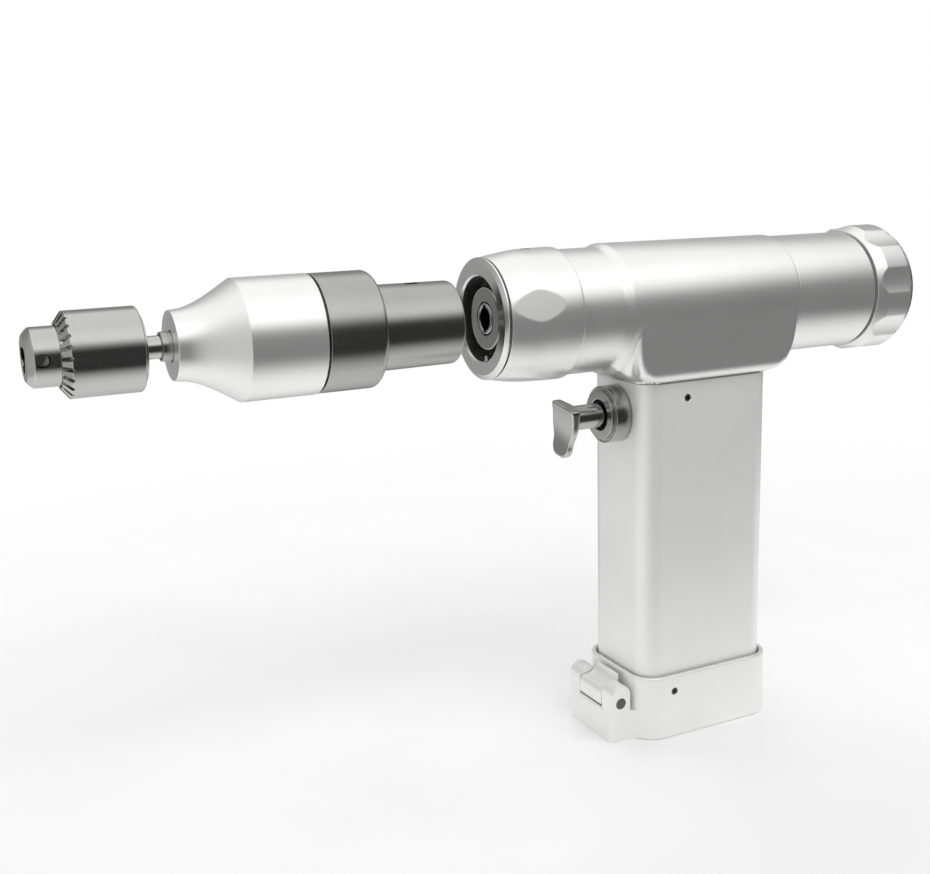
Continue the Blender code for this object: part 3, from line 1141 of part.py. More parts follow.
def make_attachment(line, finishes):
    """Housing, coupling stub, drive shaft and bearings of the attachment."""
    shaft_hole = DRIVER_RADIUS + SEAT
    wall = 0.0041
    pocket = shaft_hole + wall + SEAT
    bearing_length = 0.0060
    seat = CONE_START + 0.0040
    cavity = HOUSING_RADIUS - HOUSING_WALL
    outline = [(CONE_START, BUSH_RADIUS + SEAT), (CONE_START, CONE_FRONT_RADIUS - 0.0006)]
    outline += [(CONE_START + 0.0006, CONE_FRONT_RADIUS), (CONE_START + CONE_LAND, CONE_FRONT_RADIUS)]
    flare_start = CONE_START + CONE_LAND
    for step in range(1, 7):
        share = step / 6
        station = flare_start + (CONE_END - flare_start) * share
        rise = 0.45 * share**1.2 + 0.55 * (3 * share**2 - 2 * share**3)
        outline.append((station, CONE_FRONT_RADIUS + (HOUSING_RADIUS - CONE_FRONT_RADIUS) * rise))
    outline += [(HOUSING_END - 0.0003, HOUSING_RADIUS), (HOUSING_END, HOUSING_RADIUS - 0.0003)]
    outline += [(HOUSING_END, cavity), (CONE_END + 0.0010, cavity)]
    outline += [(seat + bearing_length + 0.0030, pocket), (seat, pocket)]
    outline += [(seat, BUSH_RADIUS + SEAT)]
    housing = turned("attachment_housing", outline)
    piece("attachment_housing", housing, finishes["aluminium"], line)

    end = seat - SEAT
    bush = tube("shaft_bush", BUSH_START, end, BUSH_RADIUS, shaft_hole, INNER_SIDES, 0.0003)
    piece("shaft_bush", bush, finishes["polished"], line)
    steel = finishes["polished"]
    start = seat + SEAT
    bearing("attachment_bearing_front", start, bearing_length, shaft_hole, wall, steel, line)

    web = SHOULDER + HUB_RECESS - 0.0012
    rear_seat = web - 0.0012 - bearing_length - 2 * SEAT
    joint_end = COLLAR_START - 0.0080
    stub_bore = HUB_RADIUS + 0.0004
    spigot = cavity - SEAT
    outline = [(joint_end, spigot - 0.0030), (joint_end, spigot), (COLLAR_START, spigot)]
    outline += [(COLLAR_START, COLLAR_RADIUS - 0.0002), (COLLAR_START + 0.0002, COLLAR_RADIUS)]
    centre = (SHOULDER - COLLAR_ROUND, COLLAR_RADIUS - COLLAR_ROUND)
    outline += arc(centre, COLLAR_ROUND, 90, 0, 3)
    tip = STUB_RADIUS - STUB_TIP_TAPER
    outline += [(SHOULDER, STUB_RADIUS), (STUB_END - 0.0090, STUB_RADIUS)]
    outline += [(STUB_END - 0.0085, tip), (STUB_END - 0.0010, tip), (STUB_END, tip - 0.0010)]
    outline += [(STUB_END, stub_bore), (web, stub_bore), (web, shaft_hole + 0.0006)]
    outline += [(web - 0.0012, shaft_hole + 0.0006), (web - 0.0012, pocket), (rear_seat, pocket)]
    outline += [(rear_seat, spigot - 0.0030)]
    stub = turned("attachment_coupling", outline)
    stub = piece("attachment_coupling", stub, finishes["steel"], line)
    middle = SHOULDER + SEAT + DOG_BEHIND_FACE
    half = SLOT_LENGTH / 2
    floor = BORE_RADIUS + SEAT - DOG_TRAVEL - 0.0005
    low = (middle - half, -SLOT_WIDTH / 2, floor)
    high = (middle + half, SLOT_WIDTH / 2, STUB_RADIUS + 0.002)
    slot = piece("dog_slot", box("dog_slot", low, high), parent=line)
    depth = BORE_RADIUS - INDEX_KEY_HEIGHT - RUN
    half = INDEX_KEY_WIDTH / 2 + RUN
    low = (SHOULDER + HUB_RECESS - 0.0010, -half, -STUB_RADIUS - 0.002)
    high = (STUB_END + 0.001, half, -depth)
    cut(stub, slot, piece("index_keyway", box("index_keyway", low, high), parent=line))
    bearing("attachment_bearing_rear", rear_seat + SEAT, bearing_length, shaft_hole, wall, steel, line)

    start = LIP_END - 0.0138
    outline = [(start, SHAFT_BORE), (start, DRIVER_RADIUS - 0.0004)]
    outline += [(start + 0.0004, DRIVER_RADIUS), (STUB_END - 0.0003, DRIVER_RADIUS)]
    outline += [(STUB_END, PILOT_RADIUS), (PILOT_END - 0.0008, PILOT_RADIUS)]
    outline += [(PILOT_END, PILOT_RADIUS - 0.0008), (PILOT_END, SHAFT_BORE)]
    shaft = turned("drive_shaft", outline, INNER_SIDES)
    shaft = piece("drive_shaft", shaft, finishes["polished"], line)
    for label, side in (("top", 1), ("bottom", -1)):
        inner = side * (DRIVER_RADIUS - 0.0006)
        outer = side * (DRIVER_RADIUS + DRIVE_KEY_HEIGHT)
        low = (STUB_END - 0.0044 - DRIVE_KEY_LENGTH, -DRIVE_KEY_WIDTH / 2, min(inner, outer))
        high = (STUB_END - 0.0044, DRIVE_KEY_WIDTH / 2, max(inner, outer))
        name = f"drive_key_{label}"
        join(shaft, piece(name, box(name, low, high), parent=line))


def jaw_frame(number):
    """The place and turn of a jaw: local X runs back along its guide hole, and the hole
    leans away from the chuck's axis towards the rear."""
    spin = math.tau * (number + 0.5) / JAWS
    turn = Matrix.Rotation(spin, 4, "X") @ Matrix.Rotation(-JAW_ANGLE, 4, "Y")
    start = Matrix.Rotation(spin, 4, "X") @ Vector((0, 0, JAW_START_RADIUS))
    return start, turn.to_euler()


def make_chuck(line, finishes):
    """The keyed chuck: body with slanted jaw guides, toothed sleeve, split nut and jaws."""
    rear_flange = SLEEVE_END - 0.0042
    inside = CHUCK_SLEEVE_RADIUS - CHUCK_SLEEVE_WALL
    nut_start = NUT_START
    nut_end = NUT_START + NUT_LENGTH
    shaft_start = LIP_END - 0.0138
    hole = DRIVER_RADIUS + SEAT

    def jaw_outside(station):
        return JAW_START_RADIUS + station * math.tan(JAW_ANGLE) + JAW_RADIUS / math.cos(JAW_ANGLE)

    groove = jaw_outside(nut_start) - 0.0006
    outline = [(0, CHUCK_MOUTH_RADIUS), (0, CHUCK_NOSE_RADIUS - 0.0022)]
    outline += [(0.0012, CHUCK_NOSE_RADIUS - 0.0006), (0.0022, CHUCK_NOSE_RADIUS)]
    outline += [(SLEEVE_START + 0.0018, CHUCK_NOSE_RADIUS), (SLEEVE_START + 0.0018, CHUCK_CORE_RADIUS)]
    outline += [(nut_start - 0.0004, CHUCK_CORE_RADIUS), (nut_start - 0.0004, groove)]
    outline += [(nut_end + 0.0004, groove), (nut_end + 0.0004, CHUCK_CORE_RADIUS)]
    outline += [(rear_flange, CHUCK_CORE_RADIUS), (rear_flange, inside - 0.0004)]
    outline += [(SLEEVE_END - 0.0002, inside - 0.0004), (SLEEVE_END - 0.0002, CHUCK_LIP_RADIUS)]
    outline += [(LIP_END, CHUCK_LIP_RADIUS), (LIP_END, hole), (shaft_start - SEAT, hole)]
    outline += [(shaft_start - SEAT, SHAFT_BORE + 0.0002)]
    outline += [(shaft_start - 0.0015, SHAFT_BORE + 0.0002), (shaft_start - 0.0015, CHUCK_MOUTH_RADIUS)]
    body = piece("chuck_body", turned("chuck_body", outline, 24), finishes["polished"], line)
    for number in range(JAWS):
        start, turn = jaw_frame(number)
        reach = (rear_flange - 0.0006) / math.cos(JAW_ANGLE)
        guide = rod("guide", -0.006, reach, JAW_RADIUS + SEAT, TINY_SIDES)
        guide = piece(f"jaw_guide_{number + 1}", guide, parent=line, location=start, turn=turn)
        drill = rod("drill", 0.0055, 0.012, KEY_HOLE_RADIUS, TINY_SIDES)
        spin = Matrix.Rotation(math.tau * number / JAWS + math.pi / 2, 4, "X")
        key_turn = (spin @ Matrix.Rotation(-math.pi / 2, 4, "Y")).to_euler()
        place = (KEY_HOLE_STATION, 0, 0)
        drill = piece(f"key_hole_{number + 1}", drill, parent=line, location=place, turn=key_turn)
        cut(body, guide, drill)

    crown = CHUCK_SLEEVE_RADIUS - 0.0030
    collar = CHUCK_NOSE_RADIUS + 0.0004
    outline = [(SLEEVE_START, collar), (SLEEVE_START, crown)]
    outline += [(SLEEVE_START + KEY_BEVEL, CHUCK_SLEEVE_RADIUS)]
    outline += [(SLEEVE_END - 0.0004, CHUCK_SLEEVE_RADIUS), (SLEEVE_END, CHUCK_SLEEVE_RADIUS - 0.0004)]
    outline += [(SLEEVE_END, inside), (nut_start - SEAT, inside), (nut_start - SEAT, collar)]
    sleeve = turned("chuck_sleeve", outline)
    sleeve = piece("chuck_sleeve", sleeve, finishes["polished"], line)
    bm = bmesh.new()
    half = math.tan(math.pi / KEY_TEETH) * 0.62 * CHUCK_SLEEVE_RADIUS
    for tooth in range(KEY_TEETH):
        notch = [(-half, -0.002), (half, -0.002), (0.0003, KEY_TOOTH_DEPTH), (-0.0003, KEY_TOOTH_DEPTH)]
        points = [(across, SLEEVE_START + along) for across, along in notch]
        mesh = extruded("notch", [(along, across) for across, along in points], 0, 0.010)
        lean = Matrix.Rotation(-math.atan2(KEY_BEVEL, 0.0030) * 0.55, 4, "Y")
        place = Matrix.Translation((SLEEVE_START, 0, crown - 0.0010))
        spin = Matrix.Rotation(math.tau * tooth / KEY_TEETH, 4, "X")
        mesh.transform(spin @ place @ lean @ Matrix.Translation((-SLEEVE_START, 0, 0)))
        bm.from_mesh(mesh)
        bpy.data.meshes.remove(mesh)
    cut(sleeve, piece("key_notches", closed_mesh("key_notches", bm), parent=line))

    clear = RUN - 0.0001
    outline = [(nut_start, jaw_outside(nut_start) + clear), (nut_start, inside - SEAT)]
    outline += [(nut_end, inside - SEAT), (nut_end, jaw_outside(nut_end) + clear)]
    piece("chuck_nut", turned("chuck_nut", outline, INNER_SIDES), finishes["steel"], line)

    for number in range(JAWS):
        start, turn = jaw_frame(number)
        low = -JAW_TIP_PROUD + JAW_TRAVEL
        name = f"chuck_jaw_{number + 1}"
        mesh = rod(name, low, low + JAW_LENGTH, JAW_RADIUS, TINY_SIDES)
        jaw = piece(name, mesh, finishes["polished"], line, start, turn)
        shift = Vector((JAW_TRAVEL * math.cos(JAW_ANGLE), 0, JAW_TRAVEL * math.sin(JAW_ANGLE)))
        for side in (-1, 1):
            wedge = box("wedge", (-0.010, -0.020, -0.020), (0.040, 0.020, 0.00015))
            lean = Matrix.Rotation(side * math.radians(30), 4, "X")
            spin = Matrix.Rotation(math.tau * (number + 0.5) / JAWS, 4, "X")
            place = spin @ Matrix.Translation(shift) @ lean
            wedge.transform(place)
            cut(jaw, piece(f"jaw_face_{number + 1}_{side + 1}", wedge, parent=line))


def make_drill():
    clear_scene()
    finishes = materials()
    barrel = frame_at("barrel_axis", (-FACE_TO_HANDLE, 0, AXIS_HEIGHT))
    make_main_body(barrel, finishes)
    make_nose(barrel, finishes)
    make_lock_ring(barrel, finishes)
    make_spindle(barrel, finishes)
    make_gears(barrel, finishes)
    make_motor(barrel, finishes)
    make_rear(barrel, finishes)
    make_handle(finishes)
    make_trigger(finishes)
    make_battery(finishes)
    make_cap(finishes)
    line = frame_at("attachment_axis", (ATTACHMENT_START, 0, 0), barrel)
    make_attachment(line, finishes)
    make_chuck(line, finishes)


make_drill()
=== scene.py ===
"""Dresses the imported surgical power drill: finer shapes for what shows, metal finishes, a
plain studio and the camera. Outlines are in millimetres, and MM turns them to metres."""

import json
import math

import bmesh
import bpy
import numpy as np
from bpy.props import FloatProperty, FloatVectorProperty, IntProperty, PointerProperty
from mathutils import Matrix, Vector


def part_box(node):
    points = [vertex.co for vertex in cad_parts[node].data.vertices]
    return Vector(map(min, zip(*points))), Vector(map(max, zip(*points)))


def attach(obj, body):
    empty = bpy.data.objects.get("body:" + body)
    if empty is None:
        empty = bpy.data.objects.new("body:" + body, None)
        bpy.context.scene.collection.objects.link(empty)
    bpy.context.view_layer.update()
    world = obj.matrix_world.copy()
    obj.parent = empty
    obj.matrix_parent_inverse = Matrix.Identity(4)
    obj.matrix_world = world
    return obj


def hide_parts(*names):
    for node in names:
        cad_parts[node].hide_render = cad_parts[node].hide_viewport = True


bl_info = {
    "name": "Surgical Power Drill",
    "version": (1, 0, 0),
    "blender": (4, 5, 0),
    "location": "View3D > Sidebar > Drill",
    "description": "Finer shapes, finishes and studio for a cannulated surgical power drill",
    "category": "Object",
}

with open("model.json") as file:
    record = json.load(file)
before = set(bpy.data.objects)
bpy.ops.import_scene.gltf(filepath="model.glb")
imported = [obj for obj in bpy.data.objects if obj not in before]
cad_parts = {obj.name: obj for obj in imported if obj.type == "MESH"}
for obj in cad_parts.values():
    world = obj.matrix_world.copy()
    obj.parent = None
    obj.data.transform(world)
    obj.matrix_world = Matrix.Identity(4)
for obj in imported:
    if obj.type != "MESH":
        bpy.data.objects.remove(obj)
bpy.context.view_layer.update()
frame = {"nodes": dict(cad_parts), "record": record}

MM = 0.001
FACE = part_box("nose_ring")[0].x
AXIS = (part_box("mode_ring")[0].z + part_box("mode_ring")[1].z) / 2
BARREL = Matrix.Translation((FACE, 0, AXIS))
LINE = Matrix.Translation((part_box("chuck_body")[0].x, 0, AXIS))
HANDLE_LOW, HANDLE_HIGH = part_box("handle_shell")
TRIGGER_AXIS = (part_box("trigger_guide")[0].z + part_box("trigger_guide")[1].z) / 2
CAP_DEPTH, CAP_WIDTH, CAP_CORNER = 31.85, 22.3, 10.7
CAP_SCREW_X, CAP_SCREW_Z = -17.0, 19.0
PIN_X, PIN_Z = -37.35, 15.6
PIN = Matrix.Translation((PIN_X * MM, 0, PIN_Z * MM))
LATCH_HALF = 15.4
EAR_GAP = 8.3
PLUG_STATION = 18.9
JAW_LEAN = math.radians(14)
JAW_TIP = 11.5
# These turn a piece from the X axis up and across.
UPRIGHT = Matrix.Rotation(-math.pi / 2, 4, "Y")
ACROSS = Matrix.Rotation(math.pi / 2, 4, "Z")


class SizeSettings(bpy.types.PropertyGroup):
    """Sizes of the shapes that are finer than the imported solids."""

    sides: IntProperty(
        name="Sides", description="Sides of a turned piece", default=144, min=24, max=400
    )
    edge: FloatProperty(
        name="Edge", description="Radius on a machined edge", default=0.0003, unit="LENGTH"
    )
    scoop: FloatProperty(
        name="Scoop", description="Blend under the neck", default=0.009, unit="LENGTH"
    )
    side_round: FloatProperty(
        name="Side round", description="Height of the round at the saddle's foot",
        default=0.0046, unit="LENGTH"
    )
    lock_flat: FloatProperty(
        name="Lock flat", description="Axis to flat at the locking ring's front",
        default=0.02161, unit="LENGTH"
    )
    mode_flat: FloatProperty(
        name="Mode flat", description="Middle of a flute to axis on the mode ring",
        default=0.0243, unit="LENGTH"
    )
    key_notches: IntProperty(
        name="Key notches", description="Notches round the chuck sleeve", default=24, min=6
    )
    notch_width: FloatProperty(
        name="Notch width", description="Width of a key notch", default=0.0014, unit="LENGTH"
    )


class FinishSettings(bpy.types.PropertyGroup):
    """Colours of the finishes."""

    aluminium: FloatVectorProperty(
        name="Aluminium", description="Blasted and anodised aluminium",
        default=(0.90, 0.90, 0.893), subtype="COLOR", min=0, max=1
    )
    steel: FloatVectorProperty(
        name="Steel", description="Turned stainless steel",
        default=(0.45, 0.45, 0.44), subtype="COLOR", min=0, max=1
    )
    polished: FloatVectorProperty(
        name="Polished steel", description="Polished stainless steel",
        default=(0.57, 0.57, 0.56), subtype="COLOR", min=0, max=1
    )
    dark: FloatVectorProperty(
        name="Blackened steel", description="Screws, pin and plug",
        default=(0.15, 0.15, 0.15), subtype="COLOR", min=0, max=1
    )
    wrap: FloatVectorProperty(
        name="Battery wrap", description="Sleeve of the battery pack",
        default=(0.035, 0.05, 0.07), subtype="COLOR", min=0, max=1
    )
    wear: FloatProperty(
        name="Wear", description="How far edges are rubbed bright", default=0.2, min=0, max=1
    )


class StudioSettings(bpy.types.PropertyGroup):
    """Floor, light and camera."""

    floor: FloatVectorProperty(
        name="Floor", description="Colour of the floor", default=(0.93, 0.93, 0.93),
        subtype="COLOR", min=0, max=1
    )
    ambient: FloatProperty(
        name="Ambient", description="Light from all round on matt surfaces", default=0.72
    )
    lamp: FloatProperty(
        name="Lamp", description="Power of the main soft lamp", default=6.0, unit="POWER"
    )
    card: FloatProperty(
        name="Near card", description="Darkest tone in front of and beside the drill",
        default=0.04, min=0, max=1
    )
    far_card: FloatProperty(
        name="Far card", description="Tone of the card behind the drill",
        default=0.30, min=0, max=1
    )
    card_distance: FloatProperty(
        name="Card distance", description="From the drill to the cards", default=0.34,
        unit="LENGTH"
    )
    focus: FloatProperty(
        name="Focal length", description="Lens of the camera in millimetres", default=48.31
    )


class Term:
    """One output in a node tree, so that node sums read as plain Python sums."""

    def __init__(self, graph, socket):
        self.graph = graph
        self.socket = socket

    def sum(self, operation, *values):
        inputs = dict(enumerate(values))
        return self.graph.node("ShaderNodeMath", {"operation": operation}, inputs)

    def __add__(self, other):
        return self.sum("ADD", self, other)

    def __radd__(self, other):
        return self.sum("ADD", other, self)

    def __sub__(self, other):
        return self.sum("SUBTRACT", self, other)

    def __rsub__(self, other):
        return self.sum("SUBTRACT", other, self)

    def __mul__(self, other):
        return self.sum("MULTIPLY", self, other)

    def __rmul__(self, other):
        return self.sum("MULTIPLY", other, self)

    def __truediv__(self, other):
        return self.sum("DIVIDE", self, other)

    def __rtruediv__(self, other):
        return self.sum("DIVIDE", other, self)

    def __pow__(self, other):
        return self.sum("POWER", self, other)


class Graph:
    """Builds the nodes of one tree."""

    def __init__(self, tree):
        self.tree = tree

    def node(self, kind, settings, inputs, output=0):
        """Adds a node, sets it up, feeds its sockets and returns one of its outputs."""
        made = self.tree.nodes.new(kind)
        for name, value in settings.items():
            setattr(made, name, value)
        for name, value in inputs.items():
            self.feed(made.inputs[name], value)
        return Term(self, made.outputs[output])

    def feed(self, socket, value):
        if isinstance(value, Term):
            self.tree.links.new(value.socket, socket)
        else:
            socket.default_value = value

    def ramp(self, value, low, high, start=0.0, end=1.0):
        """A smooth step of the value between two levels."""
        inputs = {"Value": value, "From Min": low, "From Max": high}
        inputs.update({"To Min": start, "To Max": end})
        return self.node("ShaderNodeMapRange", {"interpolation_type": "SMOOTHSTEP"}, inputs)

    def mixed(self, share, first, second):
        """A colour between two colours."""
        inputs = {0: share, 6: first, 7: second}
        return self.node("ShaderNodeMix", {"data_type": "RGBA"}, inputs, 2)

    def noise(self, place, scale, detail=2.0, rough=0.5):
        inputs = {"Vector": place, "Scale": scale, "Detail": detail, "Roughness": rough}
        return self.node("ShaderNodeTexNoise", {}, inputs)

    def stretched(self, place, factors):
        """The place times a factor along each axis."""
        inputs = {0: place, 1: factors}
        return self.node("ShaderNodeVectorMath", {"operation": "MULTIPLY"}, inputs)


def new_material(name, colour, roughness, metallic):
    """A material, its graph, its shader node and the piece's own coordinates."""
    material = bpy.data.materials.new(name)
    material.use_nodes = True
    graph = Graph(material.node_tree)
    shader = material.node_tree.nodes["Principled BSDF"]
    shader.inputs["Base Color"].default_value = (*colour, 1.0)
    shader.inputs["Roughness"].default_value = roughness
    shader.inputs["Metallic"].default_value = metallic
    place = graph.node("ShaderNodeTexCoord", {}, {}, "Object")
    return material, graph, shader, place


def shade(colour, factor):
    return tuple(min(1.0, part * factor) for part in colour[:3]) + (1.0,)


def metal(name, colour, roughness, grain, turning, metallic=1.0):
    """A metal with a blasted grain or turning marks, faint handling marks and rubbed edges."""
    colour = tuple(colour)
    material, graph, shader, place = new_material(name, colour, roughness, metallic)
    cloud = graph.noise(place, 38.0, 3.0)
    speck = graph.noise(place, 6500.0, 1.0)
    worn = graph.node("ShaderNodeAttribute", {"attribute_name": "worn"}, {}, "Fac")
    rubbed = worn * graph.ramp(graph.noise(place, 900.0, 2.0), 0.30, 0.62)
    rubbed = rubbed * bpy.context.scene.drill_finish.wear
    marks = graph.noise(graph.stretched(place, (1.0, 0.004, 0.004)), 4200.0, 3.0, 0.6)
    hair = graph.noise(graph.stretched(place, (0.25, 9.0, 1.2)), 520.0, 2.0, 0.6)
    hair = graph.ramp(hair, 0.68, 0.76)
    tone = graph.mixed(graph.ramp(cloud, 0.3, 0.7), shade(colour, 0.975), shade(colour, 1.01))
    tone = graph.mixed(graph.ramp(speck, 0.3, 0.7) * grain * 0.5, tone, shade(colour, 0.90))
    if turning:
        tone = graph.mixed(graph.ramp(marks, 0.35, 0.65) * 0.14, tone, shade(colour, 0.80))
    tone = graph.mixed(rubbed, tone, shade(colour, 1.25))
    graph.feed(shader.inputs["Base Color"], tone)
    rough = roughness + (cloud - 0.5) * 0.04 + hair * 0.03 - rubbed * 0.06
    if turning:
        rough = rough + (marks - 0.5) * 0.05
    graph.feed(shader.inputs["Roughness"], rough)
    height = speck * grain + marks * turning - hair * 0.02
    bump = {"Strength": 0.6, "Distance": 0.00002, "Height": height}
    graph.feed(shader.inputs["Normal"], graph.node("ShaderNodeBump", {}, bump))
    return material


def moulded(name, colour, roughness, pebble, scale):
    """A plastic or rubber with a moulded texture and dull patches."""
    colour = tuple(colour)
    material, graph, shader, place = new_material(name, colour, roughness, 0.0)
    cloud = graph.noise(place, 60.0, 4.0)
    skin = graph.noise(place, scale, 2.0)
    tone = graph.mixed(graph.ramp(cloud, 0.3, 0.7), shade(colour, 0.8), shade(colour, 1.25))
    graph.feed(shader.inputs["Base Color"], tone)
    graph.feed(shader.inputs["Roughness"], roughness + (cloud - 0.5) * 0.2 + (skin - 0.5) * 0.1)
    bump = {"Strength": pebble, "Distance": 0.00005, "Height": skin}
    graph.feed(shader.inputs["Normal"], graph.node("ShaderNodeBump", {}, bump))
    return material


def board_material(name):
    """Green lacquer over copper tracks."""
    colour = (0.012, 0.10, 0.045)
    material, graph, shader, place = new_material(name, colour, 0.35, 0.0)
    grid = {"Vector": place, "Scale": 700.0, "Mortar Size": 0.03}
    track = graph.node("ShaderNodeTexBrick", {}, grid, "Fac")
    tone = graph.mixed(track, shade(colour, 1.0), shade(colour, 2.4))
    graph.feed(shader.inputs["Base Color"], tone)
    graph.feed(shader.inputs["Roughness"], 0.30 + graph.noise(place, 300.0, 2.0) * 0.2)
    bump = {"Strength": 0.5, "Distance": 0.00004, "Height": track}
    graph.feed(shader.inputs["Normal"], graph.node("ShaderNodeBump", {}, bump))
    return material


def finish(slot):
    """The material of a slot of the record, made the first time that it is asked for."""
    made = bpy.data.materials.get(f"{slot}_finish")
    if made is not None:
        return made
    name = f"{slot}_finish"
    colours = bpy.context.scene.drill_finish
    recipes = {
        "satin_aluminium": lambda: metal(name, colours.aluminium, 0.30, 0.25, 0.0, 0.85),
        "blasted_aluminium": lambda: metal(name, colours.aluminium, 0.42, 0.35, 0.0, 0.50),
        "bright_aluminium": lambda: metal(name, colours.aluminium, 0.20, 0.10, 0.15),
        "satin_steel": lambda: metal(name, colours.steel, 0.21, 0.10, 0.13),
        "polished_steel": lambda: metal(name, colours.polished, 0.13, 0.05, 0.06),
        "dark_steel": lambda: metal(name, colours.dark, 0.38, 0.40, 0.0),
        "enamelled_copper": lambda: metal(name, (0.55, 0.22, 0.08), 0.35, 0.2, 0.9),
        "nickel_plate": lambda: metal(name, (0.62, 0.58, 0.50), 0.22, 0.1, 0.1),
        "gold_contact": lambda: metal(name, (0.83, 0.60, 0.22), 0.24, 0.1, 0.0),
        "brass": lambda: metal(name, (0.70, 0.52, 0.22), 0.28, 0.1, 0.3),
        "black_plastic": lambda: moulded(name, (0.03, 0.03, 0.03), 0.48, 0.5, 2600.0),
        "black_rubber": lambda: moulded(name, (0.008, 0.008, 0.008), 0.62, 0.3, 1800.0),
        "battery_wrap": lambda: moulded(name, colours.wrap, 0.38, 0.2, 700.0),
        "circuit_board": lambda: board_material(name),
    }
    return recipes[slot]()


def rounded(outline, edge, closed=True, steps=5):
    """Breaks each corner of an outline with an arc. A corner's third value is its own radius.
    Gives (x, y, worn) points, where worn is 1 along an arc."""
    points = []
    count = len(outline)
    for number, point in enumerate(outline):
        corner = Vector(point[:2])
        radius = point[2] if len(point) > 2 else edge
        at_end = not closed and number in (0, count - 1)
        before = Vector(outline[number - 1][:2]) - corner
        after = Vector(outline[(number + 1) % count][:2]) - corner
        if at_end or radius <= 0 or min(before.length, after.length) < 1e-6:
            points.append((*corner, 0.0))
            continue
        room = 0.45 * min(before.length, after.length)
        before.normalize()
        after.normalize()
        half = math.acos(max(-1.0, min(1.0, before.dot(after)))) / 2
        if half > math.radians(84):
            points.append((*corner, 0.0))
            continue
        reach = min(radius / math.tan(half), room)
        radius = reach * math.tan(half)
        centre = corner + (before + after).normalized() * radius / math.sin(half)
        first = corner + before * reach - centre
        last = corner + after * reach - centre
        sweep = math.pi - 2 * half
        for step in range(steps + 1):
            share = step / steps
            along = math.sin((1 - share) * sweep) * first + math.sin(share * sweep) * last
            points.append((*(centre + along / math.sin(sweep)), 1.0))
    return faded(points, closed)


def faded(points, closed):
    """Adds unworn points on the straight runs between worn arcs."""
    result = []
    for number, point in enumerate(points):
        result.append(point)
        if number == len(points) - 1 and not closed:
            break
        other = points[(number + 1) % len(points)]
        run = Vector(other[:2]) - Vector(point[:2])
        if run.length > 0.9 and (point[2] or other[2]):
            step = run.normalized() * 0.3
            if point[2]:
                result.append((point[0] + step.x, point[1] + step.y, 0.0))
            if other[2]:
                result.append((other[0] - step.x, other[1] - step.y, 0.0))
    return result


def made_mesh(name, bm):
    """A mesh from a closed bmesh, with its faces outwards."""
    bmesh.ops.recalc_face_normals(bm, faces=bm.faces)
    mesh = bpy.data.meshes.new(name)
    bm.to_mesh(mesh)
    bm.free()
    return mesh


def skin(name, rings, worn=None, closed=False):
    """A skin over rings of equally many points in metres, with caps unless it closes on
    itself. A ring of one repeated point becomes a pole."""
    bm = bmesh.new()
    layer = bm.verts.layers.float.new("worn")
    made = []
    for number, ring in enumerate(rings):
        pole = all((Vector(p) - Vector(ring[0])).length < 1e-9 for p in (ring[1], ring[2]))
        if pole:
            verts = [bm.verts.new(ring[0])] * len(ring)
        else:
            verts = [bm.verts.new(point) for point in ring]
        for vert in verts:
            vert[layer] = worn[number] if worn else 0.0
        made.append(verts)
    pairs = list(zip(made, made[1:]))
    if closed:
        pairs.append((made[-1], made[0]))
    for lower, upper in pairs:
        for i in range(len(lower)):
            j = (i + 1) % len(lower)
            corners = dict.fromkeys((lower[i], lower[j], upper[j], upper[i]))
            if len(corners) > 2:
                bm.faces.new(corners)
    if not closed:
        for verts in (made[0], made[-1]):
            if len(set(verts)) > 2:
                bm.faces.new(verts)
    return made_mesh(name, bm)


def turned(name, outline, edge=None, sides=None):
    """A piece turned round local X, from (station, radius) points in millimetres."""
    sizes = bpy.context.scene.drill_sizes
    sides = sides or sizes.sides
    edge = sizes.edge / MM if edge is None else edge
    closed = outline[0][1] > 0 or outline[-1][1] > 0
    points = rounded(outline, edge, closed)
    turns = [math.tau * side / sides for side in range(sides)]
    rings = []
    for station, radius, _ in points:
        ring = [(station, radius * math.sin(turn), radius * math.cos(turn)) for turn in turns]
        rings.append([Vector(point) * MM for point in ring])
    return skin(name, rings, [point[2] for point in points], closed)


def inset(outline, distance):
    """The outline moved inwards, where it runs anticlockwise."""
    moved = []
    count = len(outline)
    for number in range(count):
        here = Vector(outline[number][:2])
        before = (here - Vector(outline[number - 1][:2])).normalized()
        after = (Vector(outline[(number + 1) % count][:2]) - here).normalized()
        first = Vector((-before.y, before.x))
        second = Vector((-after.y, after.x))
        moved.append(here + (first + second) * distance / (1 + first.dot(second)))
    return moved


def plate(name, outline, start, end, axis, edge, corner=0.0):
    """A flat piece with round rims. Its outline is in millimetres and anticlockwise, as
    (x, y) along Z, (x, z) along Y and (y, z) along X."""
    place = {
        "X": lambda p, d: (d, p[0], p[1]),
        "Y": lambda p, d: (p[0], d, p[1]),
        "Z": lambda p, d: (p[0], p[1], d),
    }[axis]
    outline = [point[:2] for point in rounded(outline, corner)] if corner else outline
    area = sum(a[0] * b[1] - b[0] * a[1] for a, b in zip(outline, outline[1:] + outline[:1]))
    if area < 0:
        outline = outline[::-1]
    steps = 4
    levels = []
    for step in range(steps + 1):
        turn = math.pi / 2 * step / steps
        levels.append((edge * (1 - math.cos(turn)), edge * (1 - math.sin(turn))))
    rows = [(start + rise, back, 1.0) for rise, back in levels]
    if end - start > 2 * edge + 0.9:
        rows += [(start + edge + 0.3, 0.0, 0.0), (end - edge - 0.3, 0.0, 0.0)]
    rows += [(end - rise, back, 1.0) for rise, back in reversed(levels)]
    rows = [(start, edge + 0.12, 0.0)] + rows + [(end, edge + 0.12, 0.0)]
    rings = []
    for depth, back, _ in rows:
        rings.append([Vector(place(point, depth)) * MM for point in inset(outline, back)])
    return skin(name, rings, [row[2] for row in rows])


